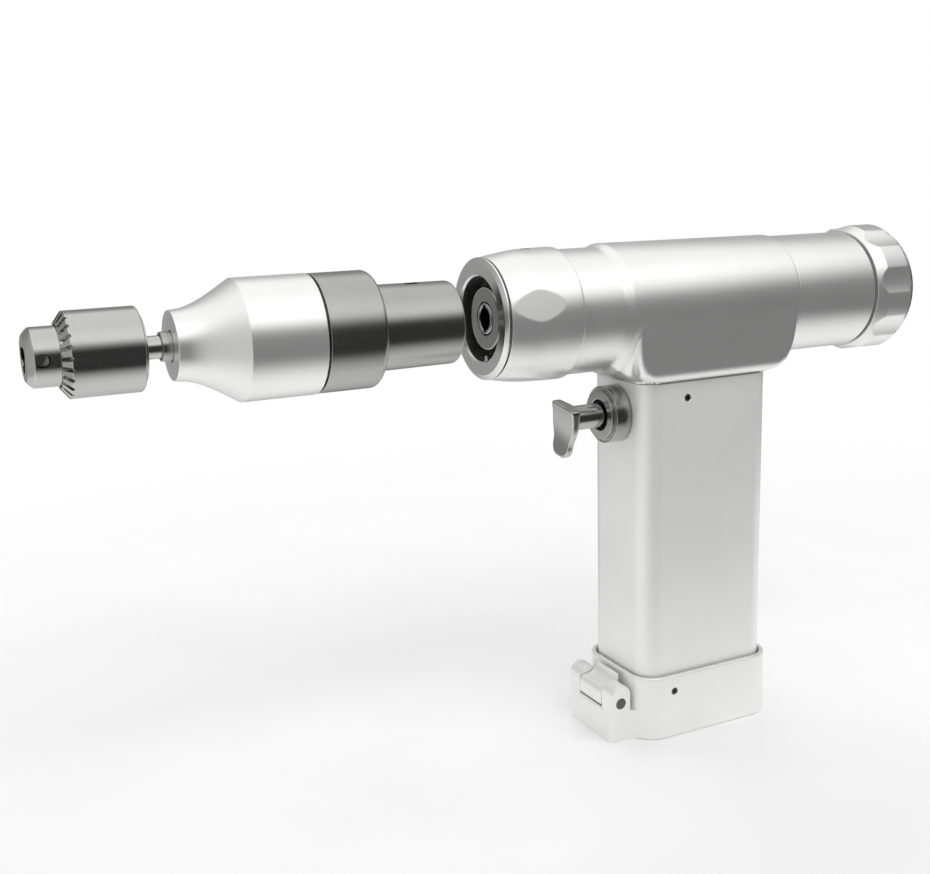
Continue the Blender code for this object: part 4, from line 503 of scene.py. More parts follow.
def rounded_rectangle(half_x, half_y, radius, steps=14):
    """Points round a rectangle with round corners, anticlockwise."""
    points = []
    for corner, (sx, sy) in enumerate(((1, 1), (-1, 1), (-1, -1), (1, -1))):
        for step in range(steps + 1):
            angle = math.pi / 2 * (corner + step / steps)
            x = sx * (half_x - radius) + radius * math.cos(angle)
            y = sy * (half_y - radius) + radius * math.sin(angle)
            points.append((x, y))
    return points


def arc(centre, radius, start, end, steps=12):
    """Points on an arc, with the angles in degrees."""
    points = []
    for step in range(steps + 1):
        angle = math.radians(start + (end - start) * step / steps)
        points.append((centre[0] + radius * math.cos(angle), centre[1] + radius * math.sin(angle)))
    return points


def merged(name, *meshes):
    """Several closed meshes as one."""
    bm = bmesh.new()
    bm.verts.layers.float.new("worn")
    for mesh in meshes:
        bm.from_mesh(mesh)
        bpy.data.meshes.remove(mesh)
    mesh = bpy.data.meshes.new(name)
    bm.to_mesh(mesh)
    bm.free()
    return mesh


def plain_mesh(thing):
    """The mesh of an object with its modifiers applied. The object and its mesh go."""
    depsgraph = bpy.context.evaluated_depsgraph_get()
    result = bpy.data.meshes.new_from_object(thing.evaluated_get(depsgraph))
    result.name = thing.name
    base = thing.data
    bpy.data.objects.remove(thing)
    bpy.data.meshes.remove(base)
    return result


def loose(mesh):
    thing = bpy.data.objects.new(mesh.name, mesh)
    bpy.context.scene.collection.objects.link(thing)
    return thing


def cut(mesh, *tools, operation="DIFFERENCE"):
    """The mesh with each tool taken from it, or joined to it."""
    thing = loose(mesh)
    cutters = [loose(tool) for tool in tools]
    for cutter in cutters:
        modifier = thing.modifiers.new(cutter.name, "BOOLEAN")
        modifier.operation = operation
        modifier.object = cutter
    result = plain_mesh(thing)
    for cutter in cutters:
        base = cutter.data
        bpy.data.objects.remove(cutter)
        bpy.data.meshes.remove(base)
    return swept(result)


def swept(mesh):
    """The mesh without the slivers that a cut can leave."""
    bm = bmesh.new()
    bm.from_mesh(mesh)
    bmesh.ops.dissolve_degenerate(bm, dist=2e-6, edges=bm.edges)
    seen, slivers = set(), []
    for first in bm.faces:
        if first in seen:
            continue
        seen.add(first)
        island = [first]
        for face in island:
            for edge in face.edges:
                fresh = [other for other in edge.link_faces if other not in seen]
                seen.update(fresh)
                island += fresh
        if len(island) < 4:
            slivers += island
    bmesh.ops.delete(bm, geom=slivers, context="FACES")
    bm.to_mesh(mesh)
    bm.free()
    return mesh


def new_tree(name, inputs):
    """A Geometry Nodes tree with named inputs, and its graph, input terms and output."""
    tree = bpy.data.node_groups.new(name, "GeometryNodeTree")
    tree.interface.new_socket("Geometry", in_out="INPUT", socket_type="NodeSocketGeometry")
    for title, kind in inputs:
        tree.interface.new_socket(title, in_out="INPUT", socket_type=kind)
    tree.interface.new_socket("Geometry", in_out="OUTPUT", socket_type="NodeSocketGeometry")
    graph = Graph(tree)
    entry = tree.nodes.new("NodeGroupInput")
    terms = {socket.name: Term(graph, socket) for socket in entry.outputs if socket.name}
    return tree, graph, terms


def end_tree(graph, terms, geometry):
    """Ends a tree in plain geometry with the material that was asked for."""
    real = graph.node("GeometryNodeRealizeInstances", {}, {"Geometry": geometry})
    inputs = {"Geometry": real, "Material": terms["Material"]}
    done = graph.node("GeometryNodeSetMaterial", {}, inputs)
    exit_node = graph.tree.nodes.new("NodeGroupOutput")
    graph.feed(exit_node.inputs["Geometry"], done)


def copies_tree():
    """Geometry Nodes that set copies of a mesh at even steps round the X axis."""
    name = "Copies round the axis"
    if name in bpy.data.node_groups:
        return bpy.data.node_groups[name]
    inputs = [("Count", "NodeSocketInt"), ("Phase", "NodeSocketFloat")]
    tree, graph, terms = new_tree(name, inputs + [("Material", "NodeSocketMaterial")])
    line = graph.node("GeometryNodeMeshLine", {}, {"Count": terms["Count"], "Offset": (0, 0, 0)})
    index = graph.node("GeometryNodeInputIndex", {}, {})
    turn = index * math.tau / terms["Count"] + terms["Phase"]
    spin = graph.node("ShaderNodeCombineXYZ", {}, {"X": turn})
    inputs = {"Points": line, "Instance": terms["Geometry"], "Rotation": spin}
    copies = graph.node("GeometryNodeInstanceOnPoints", {}, inputs)
    end_tree(graph, terms, copies)
    return tree


def flats_tree():
    """Geometry Nodes that mill even flats or flutes on a ring round the X axis."""
    name = "Flats round the axis"
    if name in bpy.data.node_groups:
        return bpy.data.node_groups[name]
    inputs = [("Count", "NodeSocketInt"), ("Phase", "NodeSocketFloat")]
    inputs += [("Flat", "NodeSocketFloat"), ("Slope", "NodeSocketFloat")]
    inputs += [("Edge", "NodeSocketFloat"), ("Hollow", "NodeSocketFloat")]
    tree, graph, terms = new_tree(name, inputs + [("Material", "NodeSocketMaterial")])
    position = graph.node("GeometryNodeInputPosition", {}, {})
    split = graph.node("ShaderNodeSeparateXYZ", {}, {"Vector": position}).socket.node
    y, z = Term(graph, split.outputs["Y"]), Term(graph, split.outputs["Z"])
    x = Term(graph, split.outputs["X"])
    radius = (y * y + z * z) ** 0.5
    turn = y.sum("ARCTAN2", y, z) - terms["Phase"]
    step = math.tau / terms["Count"]
    near = turn - step * turn.sum("ROUND", turn / step)
    limit = (terms["Flat"] + terms["Slope"] * x) / near.sum("COSINE", near)
    limit = limit + terms["Hollow"] * near * near
    milled = radius.sum("SMOOTH_MIN", radius, limit, terms["Edge"])
    scale = milled / radius
    moved = graph.node("ShaderNodeCombineXYZ", {}, {"X": x, "Y": y * scale, "Z": z * scale})
    inputs = {"Geometry": terms["Geometry"], "Position": moved}
    ring = graph.node("GeometryNodeSetPosition", {}, inputs)
    end_tree(graph, terms, ring)
    return tree


def grown(mesh, tree, **values):
    """The plain mesh that a tree makes of a mesh."""
    thing = loose(mesh)
    modifier = thing.modifiers.new(tree.name, "NODES")
    modifier.node_group = tree
    for socket in tree.interface.items_tree:
        if socket.in_out == "INPUT" and socket.name in values:
            modifier[socket.identifier] = values[socket.name]
    return plain_mesh(thing)


def copies(mesh, count, phase, slot):
    values = {"Count": count, "Phase": phase, "Material": finish(slot)}
    return grown(mesh, copies_tree(), **values)


def show(name, mesh, slot, body, nodes, place=None, look=None):
    """Sets a finished piece on its body, in the stead of its CAD nodes."""
    if place is not None:
        mesh.transform(place)
    mesh.materials.clear()
    mesh.materials.append(finish(look or slot))
    mesh.shade_smooth()
    mesh.set_sharp_from_angle(angle=math.radians(33))
    thing = loose(mesh)
    weighted = thing.modifiers.new("Even normals", "WEIGHTED_NORMAL")
    weighted.keep_sharp = True
    thing = loose(plain_mesh(thing))
    thing.name = name
    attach(thing, body)
    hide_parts(*nodes)
    return thing


def swell(small, large, depth, foot, top):
    """Grows from small at the foot to large at the top along a quarter of an ellipse."""
    share = np.clip((foot - depth) / (foot - top), 0.0, 1.0)
    return small + (large - small) * np.sqrt(1 - (1 - share) ** 2)


def barrel_radius(station):
    """The radius of the neck, which swells into the barrel and then tapers a little."""
    neck, barrel, loss = 22.9, 24.2, 0.45
    rise = np.clip((station - 47.0) / 4.0, 0.0, 1.0)
    rise = rise * rise * (3 - 2 * rise)
    taper = np.clip((station - 51.0) / 75.3, 0.0, 1.0)
    return neck + (barrel - neck) * rise - loss * taper


def casting_distance(station, across, depth, scoop, side_round):
    """Roughly the distance of points from the skin of the barrel and its saddle, negative
    inside. Depth is measured down from the axis."""
    barrel = np.hypot(across, depth) - barrel_radius(station)
    foot, centre, half_foot = 26.35, 87.3, 29.55
    half_width = swell(20.0, 23.7, depth, foot, foot - side_round)
    front = centre - swell(half_foot, 34.6, depth, foot, 9.0)
    rear = centre + swell(half_foot, 39.4, depth, foot, 1.0)
    nose = swell(8.4, 2.6, depth, foot, 13.0)
    tail = swell(8.4, 3.0, depth, foot, 13.0)
    middle = (front + rear) / 2
    corner = np.where(station < middle, nose, tail)
    along = np.abs(station - middle) - (rear - front) / 2 + corner
    aside = np.abs(across) - half_width + corner
    outer = np.hypot(np.maximum(along, 0), np.maximum(aside, 0))
    saddle = outer + np.minimum(np.maximum(along, aside), 0) - corner
    saddle = np.maximum(saddle, -depth - 2.0)
    fade = np.clip((21.0 - np.abs(across)) / 8.0, 0.0, 1.0)
    fade = fade * np.clip((64.0 - station) / 4.0, 0.0, 1.0)
    blend = np.maximum(scoop * fade, 1e-3)
    near = np.maximum(blend - np.abs(barrel - saddle), 0) / blend
    skin_distance = np.minimum(barrel, saddle) - near * near * blend / 4
    return np.maximum(skin_distance, depth - 30.0)


def casting_mesh(name, sizes):
    """The barrel, neck and saddle as one closed skin round the barrel's axis."""
    foot = 26.9
    parts = [(30.9, 46.0, 14), (46.0, 66.0, 84), (66.0, 108.0, 34), (108.0, 125.9, 72)]
    stations = np.concatenate([np.linspace(*part, endpoint=False) for part in parts])
    stations = np.append(stations, 125.95)
    columns = 272
    turns = np.arange(columns) * math.tau / columns
    across, down = np.sin(turns), -np.cos(turns)
    grid = np.repeat(stations[:, None], columns, axis=1)
    low = np.full(grid.shape, 12.0)
    high = np.full(grid.shape, 62.0)
    for _ in range(24):
        middle = (low + high) / 2
        distance = casting_distance(
            grid, middle * across, middle * down, sizes.scoop / MM, sizes.side_round / MM
        )
        low = np.where(distance < 0, middle, low)
        high = np.where(distance < 0, high, middle)
    rows = [(station, radii) for station, radii in zip(stations, low)]
    plain = [(126.3, 20.9), (33.0, 20.9), (33.0, 15.1), (7.5, 15.1), (7.5, 17.1), (2.2, 17.1)]
    plain += [(2.2, 18.9), (30.4, 18.9), (30.4, 22.6), (30.45, 22.75), (30.6, 22.88)]
    last = rows[-1][1]
    rows += [(126.15, last - 0.05), (126.27, last - 0.16), (126.3, last - 0.3)]
    rows += [(station, np.full(columns, radius)) for station, radius in plain]
    rings = []
    for station, radii in rows:
        ring = zip(radii * across, radii * -down)
        rings.append([Vector((station, y, z)) * MM for y, z in ring])
    mesh = skin(name, rings, closed=True)
    bm = bmesh.new()
    bm.from_mesh(mesh)
    everything = bm.verts[:] + bm.edges[:] + bm.faces[:]
    made = bmesh.ops.bisect_plane(
        bm, geom=everything, plane_co=(0, 0, -foot * MM), plane_no=(0, 0, -1), clear_outer=True
    )
    rim = [item for item in made["geom_cut"] if isinstance(item, bmesh.types.BMEdge)]
    bmesh.ops.holes_fill(bm, edges=rim, sides=0)
    bmesh.ops.recalc_face_normals(bm, faces=bm.faces)
    bm.to_mesh(mesh)
    bm.free()
    return mesh


def block(name, low, high):
    """A plain box for cutting, in millimetres."""
    outline = [(low[0], low[1]), (high[0], low[1]), (high[0], high[1]), (low[0], high[1])]
    rings = [[Vector((x, y, z)) * MM for x, y in outline] for z in (low[2], high[2])]
    return skin(name, rings)


class DRILL_OT_barrel(bpy.types.Operator):
    """Make the barrel with its saddle, and the rear housing"""

    bl_idname = "drill.barrel"
    bl_label = "Barrel"

    def execute(self, context):
        body = casting_mesh("main_body", context.scene.drill_sizes)
        body = cut(body, block("window", (12.7, -2.7, 10.0), (18.1, 2.7, 22.0)))
        tenon = plate("tenon", rounded_rectangle(19.9, 17.2, 5.6), -35.9, -26.0, "Z", 0.3)
        tenon.transform(Matrix.Translation((94.2 * MM, 0, 0)))
        body = merged("main_body", body, tenon)
        show("barrel", body, "satin_aluminium", "handpiece", ["main_body"], BARREL)

        outline = [(118.0, 18.6), (118.0, 20.6), (126.95, 20.6), (126.95, 23.05)]
        outline += [(164.9, 23.05, 0.35), (164.9, 18.0), (180.5, 18.0), (180.5, 12.0)]
        outline += [(161.0, 12.0), (161.0, 20.4), (129.6, 20.4), (127.6, 18.6)]
        housing = turned("rear_housing", outline)
        show("rear_housing_skin", housing, "satin_aluminium", "handpiece", ["rear_housing"], BARREL)
        return {"FINISHED"}


class DRILL_OT_coupling(bpy.types.Operator):
    """Make the nose ring, the fixed hub and the keyed spindle of the coupling"""

    bl_idname = "drill.coupling"
    bl_label = "Coupling"

    def execute(self, context):
        outline = [(0.6, 15.1, 0.15), (0.0, 15.75, 0.12), (0.0, 20.0, 0.2), (0.95, 21.75, 0.3)]
        outline += [(1.45, 21.75, 0.1), (1.45, 16.8), (7.2, 16.8), (7.2, 15.1)]
        ring = turned("nose_ring", outline)
        wedge = [(-1.5, -16.0), (1.5, -16.0), (0.55, -13.3), (-0.55, -13.3)]
        key = plate("index_key", wedge, 2.6, 6.2, "X", 0.2, 0.25)
        ring = merged("nose_ring", ring, key)
        show("nose", ring, "bright_aluminium", "handpiece", ["nose_ring"], BARREL)

        outline = [(2.6, 6.2, 0.15), (2.6, 11.2, 0.6), (33.3, 11.2), (33.3, 20.6), (37.5, 20.6)]
        outline += [(37.5, 9.2), (4.8, 9.2), (4.8, 6.2)]
        hub = turned("coupling_hub", outline)
        show("hub", hub, "satin_steel", "handpiece", ["coupling_hub"], BARREL)

        outline = [(2.4, 4.1, 0.35), (2.4, 5.5, 0.45), (38.0, 5.5), (38.0, 15.5), (40.6, 15.5)]
        outline += [(40.6, 3.0), (35.5, 3.0), (34.5, 4.1)]
        spindle = turned("output_spindle", outline)
        keyway = block("keyway", (-1.0, -0.95, -4.9), (27.5, 0.95, 4.9))
        spindle = cut(spindle, keyway)
        pin = turned("planet_pin", [(40.0, 0), (40.0, 1.5), (49.7, 1.5), (49.7, 0)], 0.2, 32)
        pin.transform(Matrix.Translation((0, 0, 11.7 * MM)))
        pins = copies(pin, 3, 0.0, "polished_steel")
        spindle = merged("output_spindle", spindle, pins)
        show("spindle", spindle, "polished_steel", "spindle", ["output_spindle"], BARREL)
        return {"FINISHED"}


class DRILL_OT_lock_ring(bpy.types.Operator):
    """Make the locking ring with its four flats and dark plug"""

    bl_idname = "drill.lock_ring"
    bl_label = "Locking ring"

    def execute(self, context):
        sizes = context.scene.drill_sizes
        outline = [(29.9, 19.4), (18.3, 19.4), (18.3, 21.6), (12.5, 21.6), (12.5, 19.4)]
        outline += [(2.2, 19.4), (2.2, 21.75, 0.2)]
        for station in np.linspace(3.2, 28.4, 72):
            front = 21.75 + 0.1887 * (station - 2.2)
            rear = 23.78 + 0.0158 * (station - 12.8)
            blend = max(0.5 - abs(front - rear), 0.0)
            outline.append((station, min(front, rear) - blend * blend / 2, 0.0))
        outline.append((29.9, 23.95, 0.5))
        ring = turned("lock_ring", outline, sides=360)
        values = {"Count": 4, "Phase": math.radians(-75), "Flat": sizes.lock_flat}
        values.update({"Slope": 0.1033, "Edge": 0.00004})
        ring = grown(ring, flats_tree(), Material=finish("satin_aluminium"), **values)
        hole = turned("plug_hole", [(22.3, 0), (22.3, 2.4), (26.0, 2.4), (26.0, 0)], 0.0, 48)
        stand = Matrix.Translation((PLUG_STATION * MM, 0, 0)) @ UPRIGHT
        hole.transform(stand)
        ring = cut(ring, hole)
        show("locking_ring", ring, "satin_aluminium", "lock_ring", ["lock_ring"], BARREL)

        outline = [(22.5, 0), (22.5, 2.2), (23.5, 2.2, 0.3)]
        outline += [(23.5, 0.9, 0.1), (23.0, 0.8), (23.0, 0)]
        plug = turned("plug", outline, 0.1, 48)
        show("plug", plug, "dark_steel", "lock_ring", ["lock_ring_plug"], BARREL @ stand)
        return {"FINISHED"}


class DRILL_OT_rear(bpy.types.Operator):
    """Make the mode ring with its eight flutes, the rear cap and the guide wire's tube"""

    bl_idname = "drill.rear"
    bl_label = "Mode ring and rear cap"

    def execute(self, context):
        sizes = context.scene.drill_sizes
        outline = [(183.0, 18.5), (166.0, 18.5), (166.0, 23.6, 0.2)]
        for share in np.linspace(0.15, 0.92, 14):
            outline.append((166.0 + 4.4 * share, 23.6 + 1.9 * share, 0.0))
        outline.append((170.4, 25.5, 0.3))
        outline += [(station, 25.5, 0.0) for station in np.linspace(170.9, 180.6, 22)]
        outline += [(181.1, 25.5, 0.3), (183.0, 24.35, 0.4)]
        ring = turned("mode_ring", outline, sides=384)
        phase = math.radians(10.5)
        values = {"Count": 8, "Phase": phase, "Flat": sizes.mode_flat, "Slope": 0.0}
        values.update({"Edge": 0.00004, "Hollow": 0.0174})
        ring = grown(ring, flats_tree(), Material=finish("satin_aluminium"), **values)
        mark = turned("index", [(22.9, 0), (22.9, 0.9), (26.0, 1.1), (26.0, 0)], 0.0, 32)
        turn = Matrix.Rotation(-phase, 4, "X") @ Matrix.Translation((175.6 * MM, 0, 0))
        mark.transform(turn @ UPRIGHT)
        ring = cut(ring, mark)
        show("mode_selector", ring, "satin_aluminium", "mode_ring", ["mode_ring"], BARREL)

        outline = [(171.5, 2.8), (171.5, 11.7), (180.8, 11.7), (180.8, 18.0), (183.3, 18.0)]
        outline += [(183.3, 23.7), (184.3, 23.7, 0.5), (184.9, 23.0, 0.4), (186.1, 19.0, 0.5)]
        outline += [(186.5, 18.0, 0.4), (186.5, 7.0, 0.1), (186.2, 6.7, 0.1), (186.2, 4.6, 0.1)]
        outline += [(186.5, 4.3, 0.2), (186.5, 2.8)]
        cap = turned("rear_cap", outline)
        show("rear_disc", cap, "bright_aluminium", "handpiece", ["rear_cap"], BARREL)

        outline = [(35.8, 2.0), (35.8, 2.5), (186.3, 2.5), (186.3, 2.0)]
        tube = turned("cannula_tube", outline, 0.12, 48)
        show("wire_tube", tube, "satin_steel", "handpiece", ["cannula_tube"], BARREL)
        return {"FINISHED"}


def set_screws(name, x, z, start, end, body, nodes):
    """A pair of socket set screws that face each other."""
    outline = [(start, 0), (start, 1.25), (end, 1.25, 0.25), (end, 0.72, 0.08)]
    outline += [(end - 1.0, 0.70, 0.02), (end - 1.2, 0)]
    screw = turned(name, outline, 0.1, 40)
    screw.transform(UPRIGHT)
    pair = copies(screw, 2, math.pi / 2, "dark_steel")
    show(name, pair, "dark_steel", body, nodes, Matrix.Translation((x * MM, 0, z * MM)))


def screw_bores(x, z, start, end):
    """Cutters for a pair of set screws, with a broken edge at the outside."""
    outline = [(start, 0), (start, 1.45), (end - 0.15, 1.45), (end + 0.4, 2.0), (end + 0.4, 0)]
    bore = turned("bore", outline, 0.0, 48)
    bore.transform(UPRIGHT)
    pair = copies(bore, 2, math.pi / 2, "dark_steel")
    pair.transform(Matrix.Translation((x * MM, 0, z * MM)))
    return pair


class DRILL_OT_handle(bpy.types.Operator):
    """Make the hollow grip and its set screws"""

    bl_idname = "drill.handle"
    bl_label = "Handle"

    def execute(self, context):
        low, high = HANDLE_LOW / MM, HANDLE_HIGH / MM
        depth, width = high.x, high.y
        rows = [(low.z, 0.3), (low.z + 0.09, 0.09), (low.z + 0.3, 0.0), (high.z - 0.5, 0.0)]
        rows += [(high.z - 0.31, 0.06), (high.z - 0.14, 0.2), (high.z, 0.5)]
        rows += [(high.z, 1.8), (high.z - 0.2, 2.0), (low.z + 0.2, 2.0), (low.z, 1.8)]
        rings = []
        for z, back in rows:
            outline = rounded_rectangle(depth - back, width - back, 8.0 - back)
            rings.append([Vector((x, y, z)) * MM for x, y in outline])
        shell = skin("handle_shell", rings, closed=True)
        z = TRIGGER_AXIS / MM
        guide = turned("guide_hole", [(-40, 0), (-40, 8.3), (-15, 8.3), (-15, 0)], 0.0, 64)
        guide.transform(Matrix.Translation((0, 0, z * MM)))
        notch = block("notch", (-30.5, -5.5, low.z - 1.0), (-26.5, 5.5, 23.1))
        screw_x, screw_z = -10.3, high.z - 6.2
        bores = screw_bores(screw_x, screw_z, 10.0, width)
        shell = cut(shell, guide, notch, bores)
        look = "blasted_aluminium"
        show("grip", shell, "satin_aluminium", "handpiece", ["handle_shell"], look=look)
        nodes = ["handle_screw_near", "handle_screw_far"]
        set_screws("grip_screws", screw_x, screw_z, 13.0, width - 0.15, "handpiece", nodes)
        return {"FINISHED"}


def trigger_plate(back):
    """The finger plate: thick at its top, hollow in front, narrow at its foot and flared into
    the stem. It leans a little to the near side."""
    top, bottom, edge = 5.6, -14.5, 1.0
    side = []
    for step in range(9):
        share = step / 8
        width = 5.8 + 2.0 * share * share * (3 - 2 * share)
        side.append((width, -9.8 + 7.8 * share, 0.0))
    foot = [(y, z, 0.0) for y, z in arc((1.6, bottom + 4.2), 4.2, -90, 0, 8)]
    corners = [*foot, *side, (7.8, top, 1.3)]
    corners += [(-y, z, radius) for y, z, radius in reversed(corners)]
    outline = [Vector(point[:2]) for point in rounded(corners, 0.0)]
    dense = []
    for here, following in zip(outline, outline[1:] + outline[:1]):
        steps = max(1, int((following - here).length / 0.7))
        dense += [here.lerp(following, step / steps) for step in range(steps)]
    middle, tall = (top + bottom) / 2, (top - bottom) / 2
    turns = [math.pi / 2 * step / 6 for step in range(1, 7)]
    rim = [(1 - math.sin(turn), 1 - math.cos(turn)) for turn in turns]
    rows = [("front", (step / 8) ** 0.8, 1.0, 0.0) for step in range(9)]
    rows += [("front", 1.0, back_in, sink) for back_in, sink in rim]
    rows += [("rear", 1.0, back_in, sink) for back_in, sink in reversed(rim)]
    rows += [("rear", step / 24, 1.0, 0.0) for step in range(24, -1, -1)]
    rings, worn = [], []
    for face, share, back_in, sink in rows:
        ring = []
        for point in dense:
            py = point.x * share * (1 - back_in * edge / 7.8)
            pz = (point.y - middle) * share * (1 - back_in * edge / tall)
            place = pz / tall
            if face == "front":
                x = back - 4.0 + 1.3 * (1 - place**2) + edge * sink
            else:
                near = math.hypot(py, (pz + middle) * 0.85)
                x = back - 0.3 + 0.5 * place + 1.6 * math.exp(-((near / 5.6) ** 3)) - edge * sink
            ring.append(Vector((x, py, pz + middle)) * MM)
        rings.append(ring)
        worn.append(1.0 if sink else 0.0)
    mesh = skin("plate", rings, worn)
    mesh.transform(Matrix.Rotation(math.radians(9), 4, "X"))
    return mesh


class DRILL_OT_trigger(bpy.types.Operator):
    """Make the trigger, its guide and the wiper seal"""

    bl_idname = "drill.trigger"
    bl_label = "Trigger"

    def execute(self, context):
        axis = Matrix.Translation((0, 0, TRIGGER_AXIS))
        face = HANDLE_LOW.x / MM - 0.3
        big, lip = face - 6.5, face - 7.8
        outline = [(lip, 5.9, 0.25), (lip, 9.4, 0.35), (big + 0.25, 9.4, 0.1)]
        outline += [(big + 0.25, 10.1, 0.15), (big, 10.4, 0.15), (big + 0.1, 10.9, 0.3)]
        outline.append((face - 0.35, 10.9, 0.15))
        outline += [(face, 10.5, 0.1), (face, 8.0), (face + 6.0, 8.0), (face + 6.0, 5.05)]
        outline += [(lip + 3.0, 5.05), (lip + 3.0, 5.9)]
        guide = turned("trigger_guide", outline)
        show("guide", guide, "satin_steel", "handpiece", ["trigger_guide"], axis)
        outline = [(lip + 0.9, 5.6), (lip + 2.7, 5.6), (lip + 2.7, 5.15), (lip + 1.3, 4.95, 0.1)]
        seal = turned("trigger_seal", outline, 0.15)
        show("wiper", seal, "black_rubber", "handpiece", ["trigger_seal"], axis)

        back = lip - 13.0
        outline = [(back - 1.5, 0), (back - 1.5, 4.65), (face + 8.0, 4.65, 0.4), (face + 8.0, 0)]
        stem = turned("stem", outline)
        lever = merged("trigger", stem, trigger_plate(back))
        show("trigger_plate", lever, "satin_steel", "trigger", ["trigger"], axis, "polished_steel")
        return {"FINISHED"}


def latch_plan():
    """Plan of the latch block, whose sides run into the cap in a hollow round."""
    half, blend, nose, front = LATCH_HALF, 4.0, 1.8, -41.85
    corner_x, corner_y = -CAP_DEPTH + CAP_CORNER, CAP_WIDTH - CAP_CORNER
    rise = half + blend - corner_y
    blend_x = corner_x - math.sqrt((CAP_CORNER + blend) ** 2 - rise**2)
    meet = math.degrees(math.atan2(-rise, corner_x - blend_x))
    plan = [(corner_x, corner_y)] + arc((blend_x, half + blend), blend, meet, -90, 14)
    plan += arc((front + nose, half - nose), nose, 90, 180, 10)
    return plan + [(x, -y) for x, y in reversed(plan)]


def pin_bore(place):
    """A cutter for the hinge pin's bore, along Y."""
    bore = turned("bore", [(-30, 0), (-30, 2.25), (30, 2.25), (30, 0)], 0.0, 48)
    bore.transform(place @ ACROSS)
    return bore


def cap_mesh():
    """The battery cap: tray, rim and the block with two ears for the latch."""
    rows = [(0.0, 0.9), (0.1, 0.5), (0.35, 0.15), (0.9, 0.0), (24.8, 0.0), (25.1, 0.06)]
    rows += [(25.32, 0.25), (25.4, 0.5), (25.4, 1.4), (25.3, 1.62), (25.1, 1.7), (16.7, 1.7)]
    rings = []
    for z, back in rows:
        outline = rounded_rectangle(CAP_DEPTH - back, CAP_WIDTH - back, CAP_CORNER - back)
        rings.append([Vector((x, y, z)) * MM for x, y in outline])
    for z in (16.7, 6.0):
        outline = rounded_rectangle(25.25, 15.7, 6.3)
        rings.append([Vector((x, y, z)) * MM for x, y in outline])
    cap = skin("battery_cap", rings)
    foot = plate("latch_block", latch_plan(), 0.0, 11.8, "Z", 0.15)
    ear_z, reach, base = 18.5, 4.45, 8.0
    outer = LATCH_HALF - 0.04
    ear = arc((PIN_X, ear_z), reach, 0, 180, 24) + [(PIN_X - reach, base), (PIN_X + reach, base)]
    near = plate("ear_near", ear, -outer, -EAR_GAP, "Y", 0.4)
    far = plate("ear_far", ear, EAR_GAP, outer, "Y", 0.4)
    outline = [(-41.6, base), (-32.8, base), (-32.8, 12.4), (-41.6, 12.4)]
    sill = plate("sill", outline, -8.6, 8.6, "Y", 0.1)
    cap = cut(cap, foot, near, far, sill, operation="UNION")
    window = block("window", (-32.85, -5.5, 18.8), (-29.15, 5.5, 23.0))
    bores = screw_bores(CAP_SCREW_X, CAP_SCREW_Z, 20.4, CAP_WIDTH)
    return cut(cap, window, pin_bore(PIN), bores)


def lever_mesh():
    """The thumb lever with its hollow top and the hook that holds the handle."""
    nose, bottom, crest, back = -4.4, -2.0, 9.0, 3.9
    outline = [(nose, bottom), (back - 1.0, bottom), (back, 1.0), (back, crest - 0.2)]
    start = (nose + 2.9, 4.5)
    for step in range(20, -1, -1):
        turn = math.pi / 2 * step / 20
        x = start[0] + (back - 0.35 - start[0]) * math.sin(turn)
        outline.append((x, start[1] + (crest - start[1]) * (1 - math.cos(turn))))
    outline += arc((nose + 2.6, 1.9), 2.6, 85, 180, 10)
    lever = plate("latch_lever", outline, -7.95, 7.95, "Y", 0.25)
    hook = plate("hook", [(2.9, 3.7), (8.9, 3.7), (8.9, 5.3), (2.9, 5.3)], -5.0, 5.0, "Y", 0.2)
    lever = cut(lever, hook, operation="UNION")
    return cut(lever, pin_bore(Matrix()))


class DRILL_OT_cap(bpy.types.Operator):
    """Make the battery cap with its latch, and the battery pack that stands in it"""

    bl_idname = "drill.cap"
    bl_label = "Battery cap and pack"

    def execute(self, context):
        look = "blasted_aluminium"
        show("cap", cap_mesh(), "satin_aluminium", "battery_cap", ["battery_cap"], look=look)
        lever = lever_mesh()
        show("lever", lever, "satin_aluminium", "latch_lever", ["latch_lever"], PIN, look)
        outline = [(-15.1, 0), (-15.1, 2.0, 0.3), (15.1, 2.0, 0.3), (15.1, 0)]
        pin = turned("latch_pin", outline, 0.2, 48)
        show("hinge_pin", pin, "dark_steel", "battery_cap", ["latch_pin"], PIN @ ACROSS)
        nodes = ["cap_screw_near", "cap_screw_far"]
        end = CAP_WIDTH - 0.15
        set_screws("cap_screws", CAP_SCREW_X, CAP_SCREW_Z, 20.8, end, "battery_cap", nodes)

        low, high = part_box("battery_pack")
        low, high = low / MM, high / MM
        outline = rounded_rectangle(high.x, high.y, 5.5)
        wrap = plate("pack", outline, low.z + 3.0, high.z - 4.0, "Z", 0.4)
        ends = []
        for start, end in ((low.z, low.z + 3.0), (high.z - 4.0, high.z)):
            outline = rounded_rectangle(high.x - 0.25, high.y - 0.25, 5.3)
            ends.append(plate("pack_end", outline, start, end, "Z", 0.5))
        pack = merged("battery_pack", wrap, *ends)
        show("pack", pack, "battery_wrap", "battery_cap", ["battery_pack"])
        return {"FINISHED"}


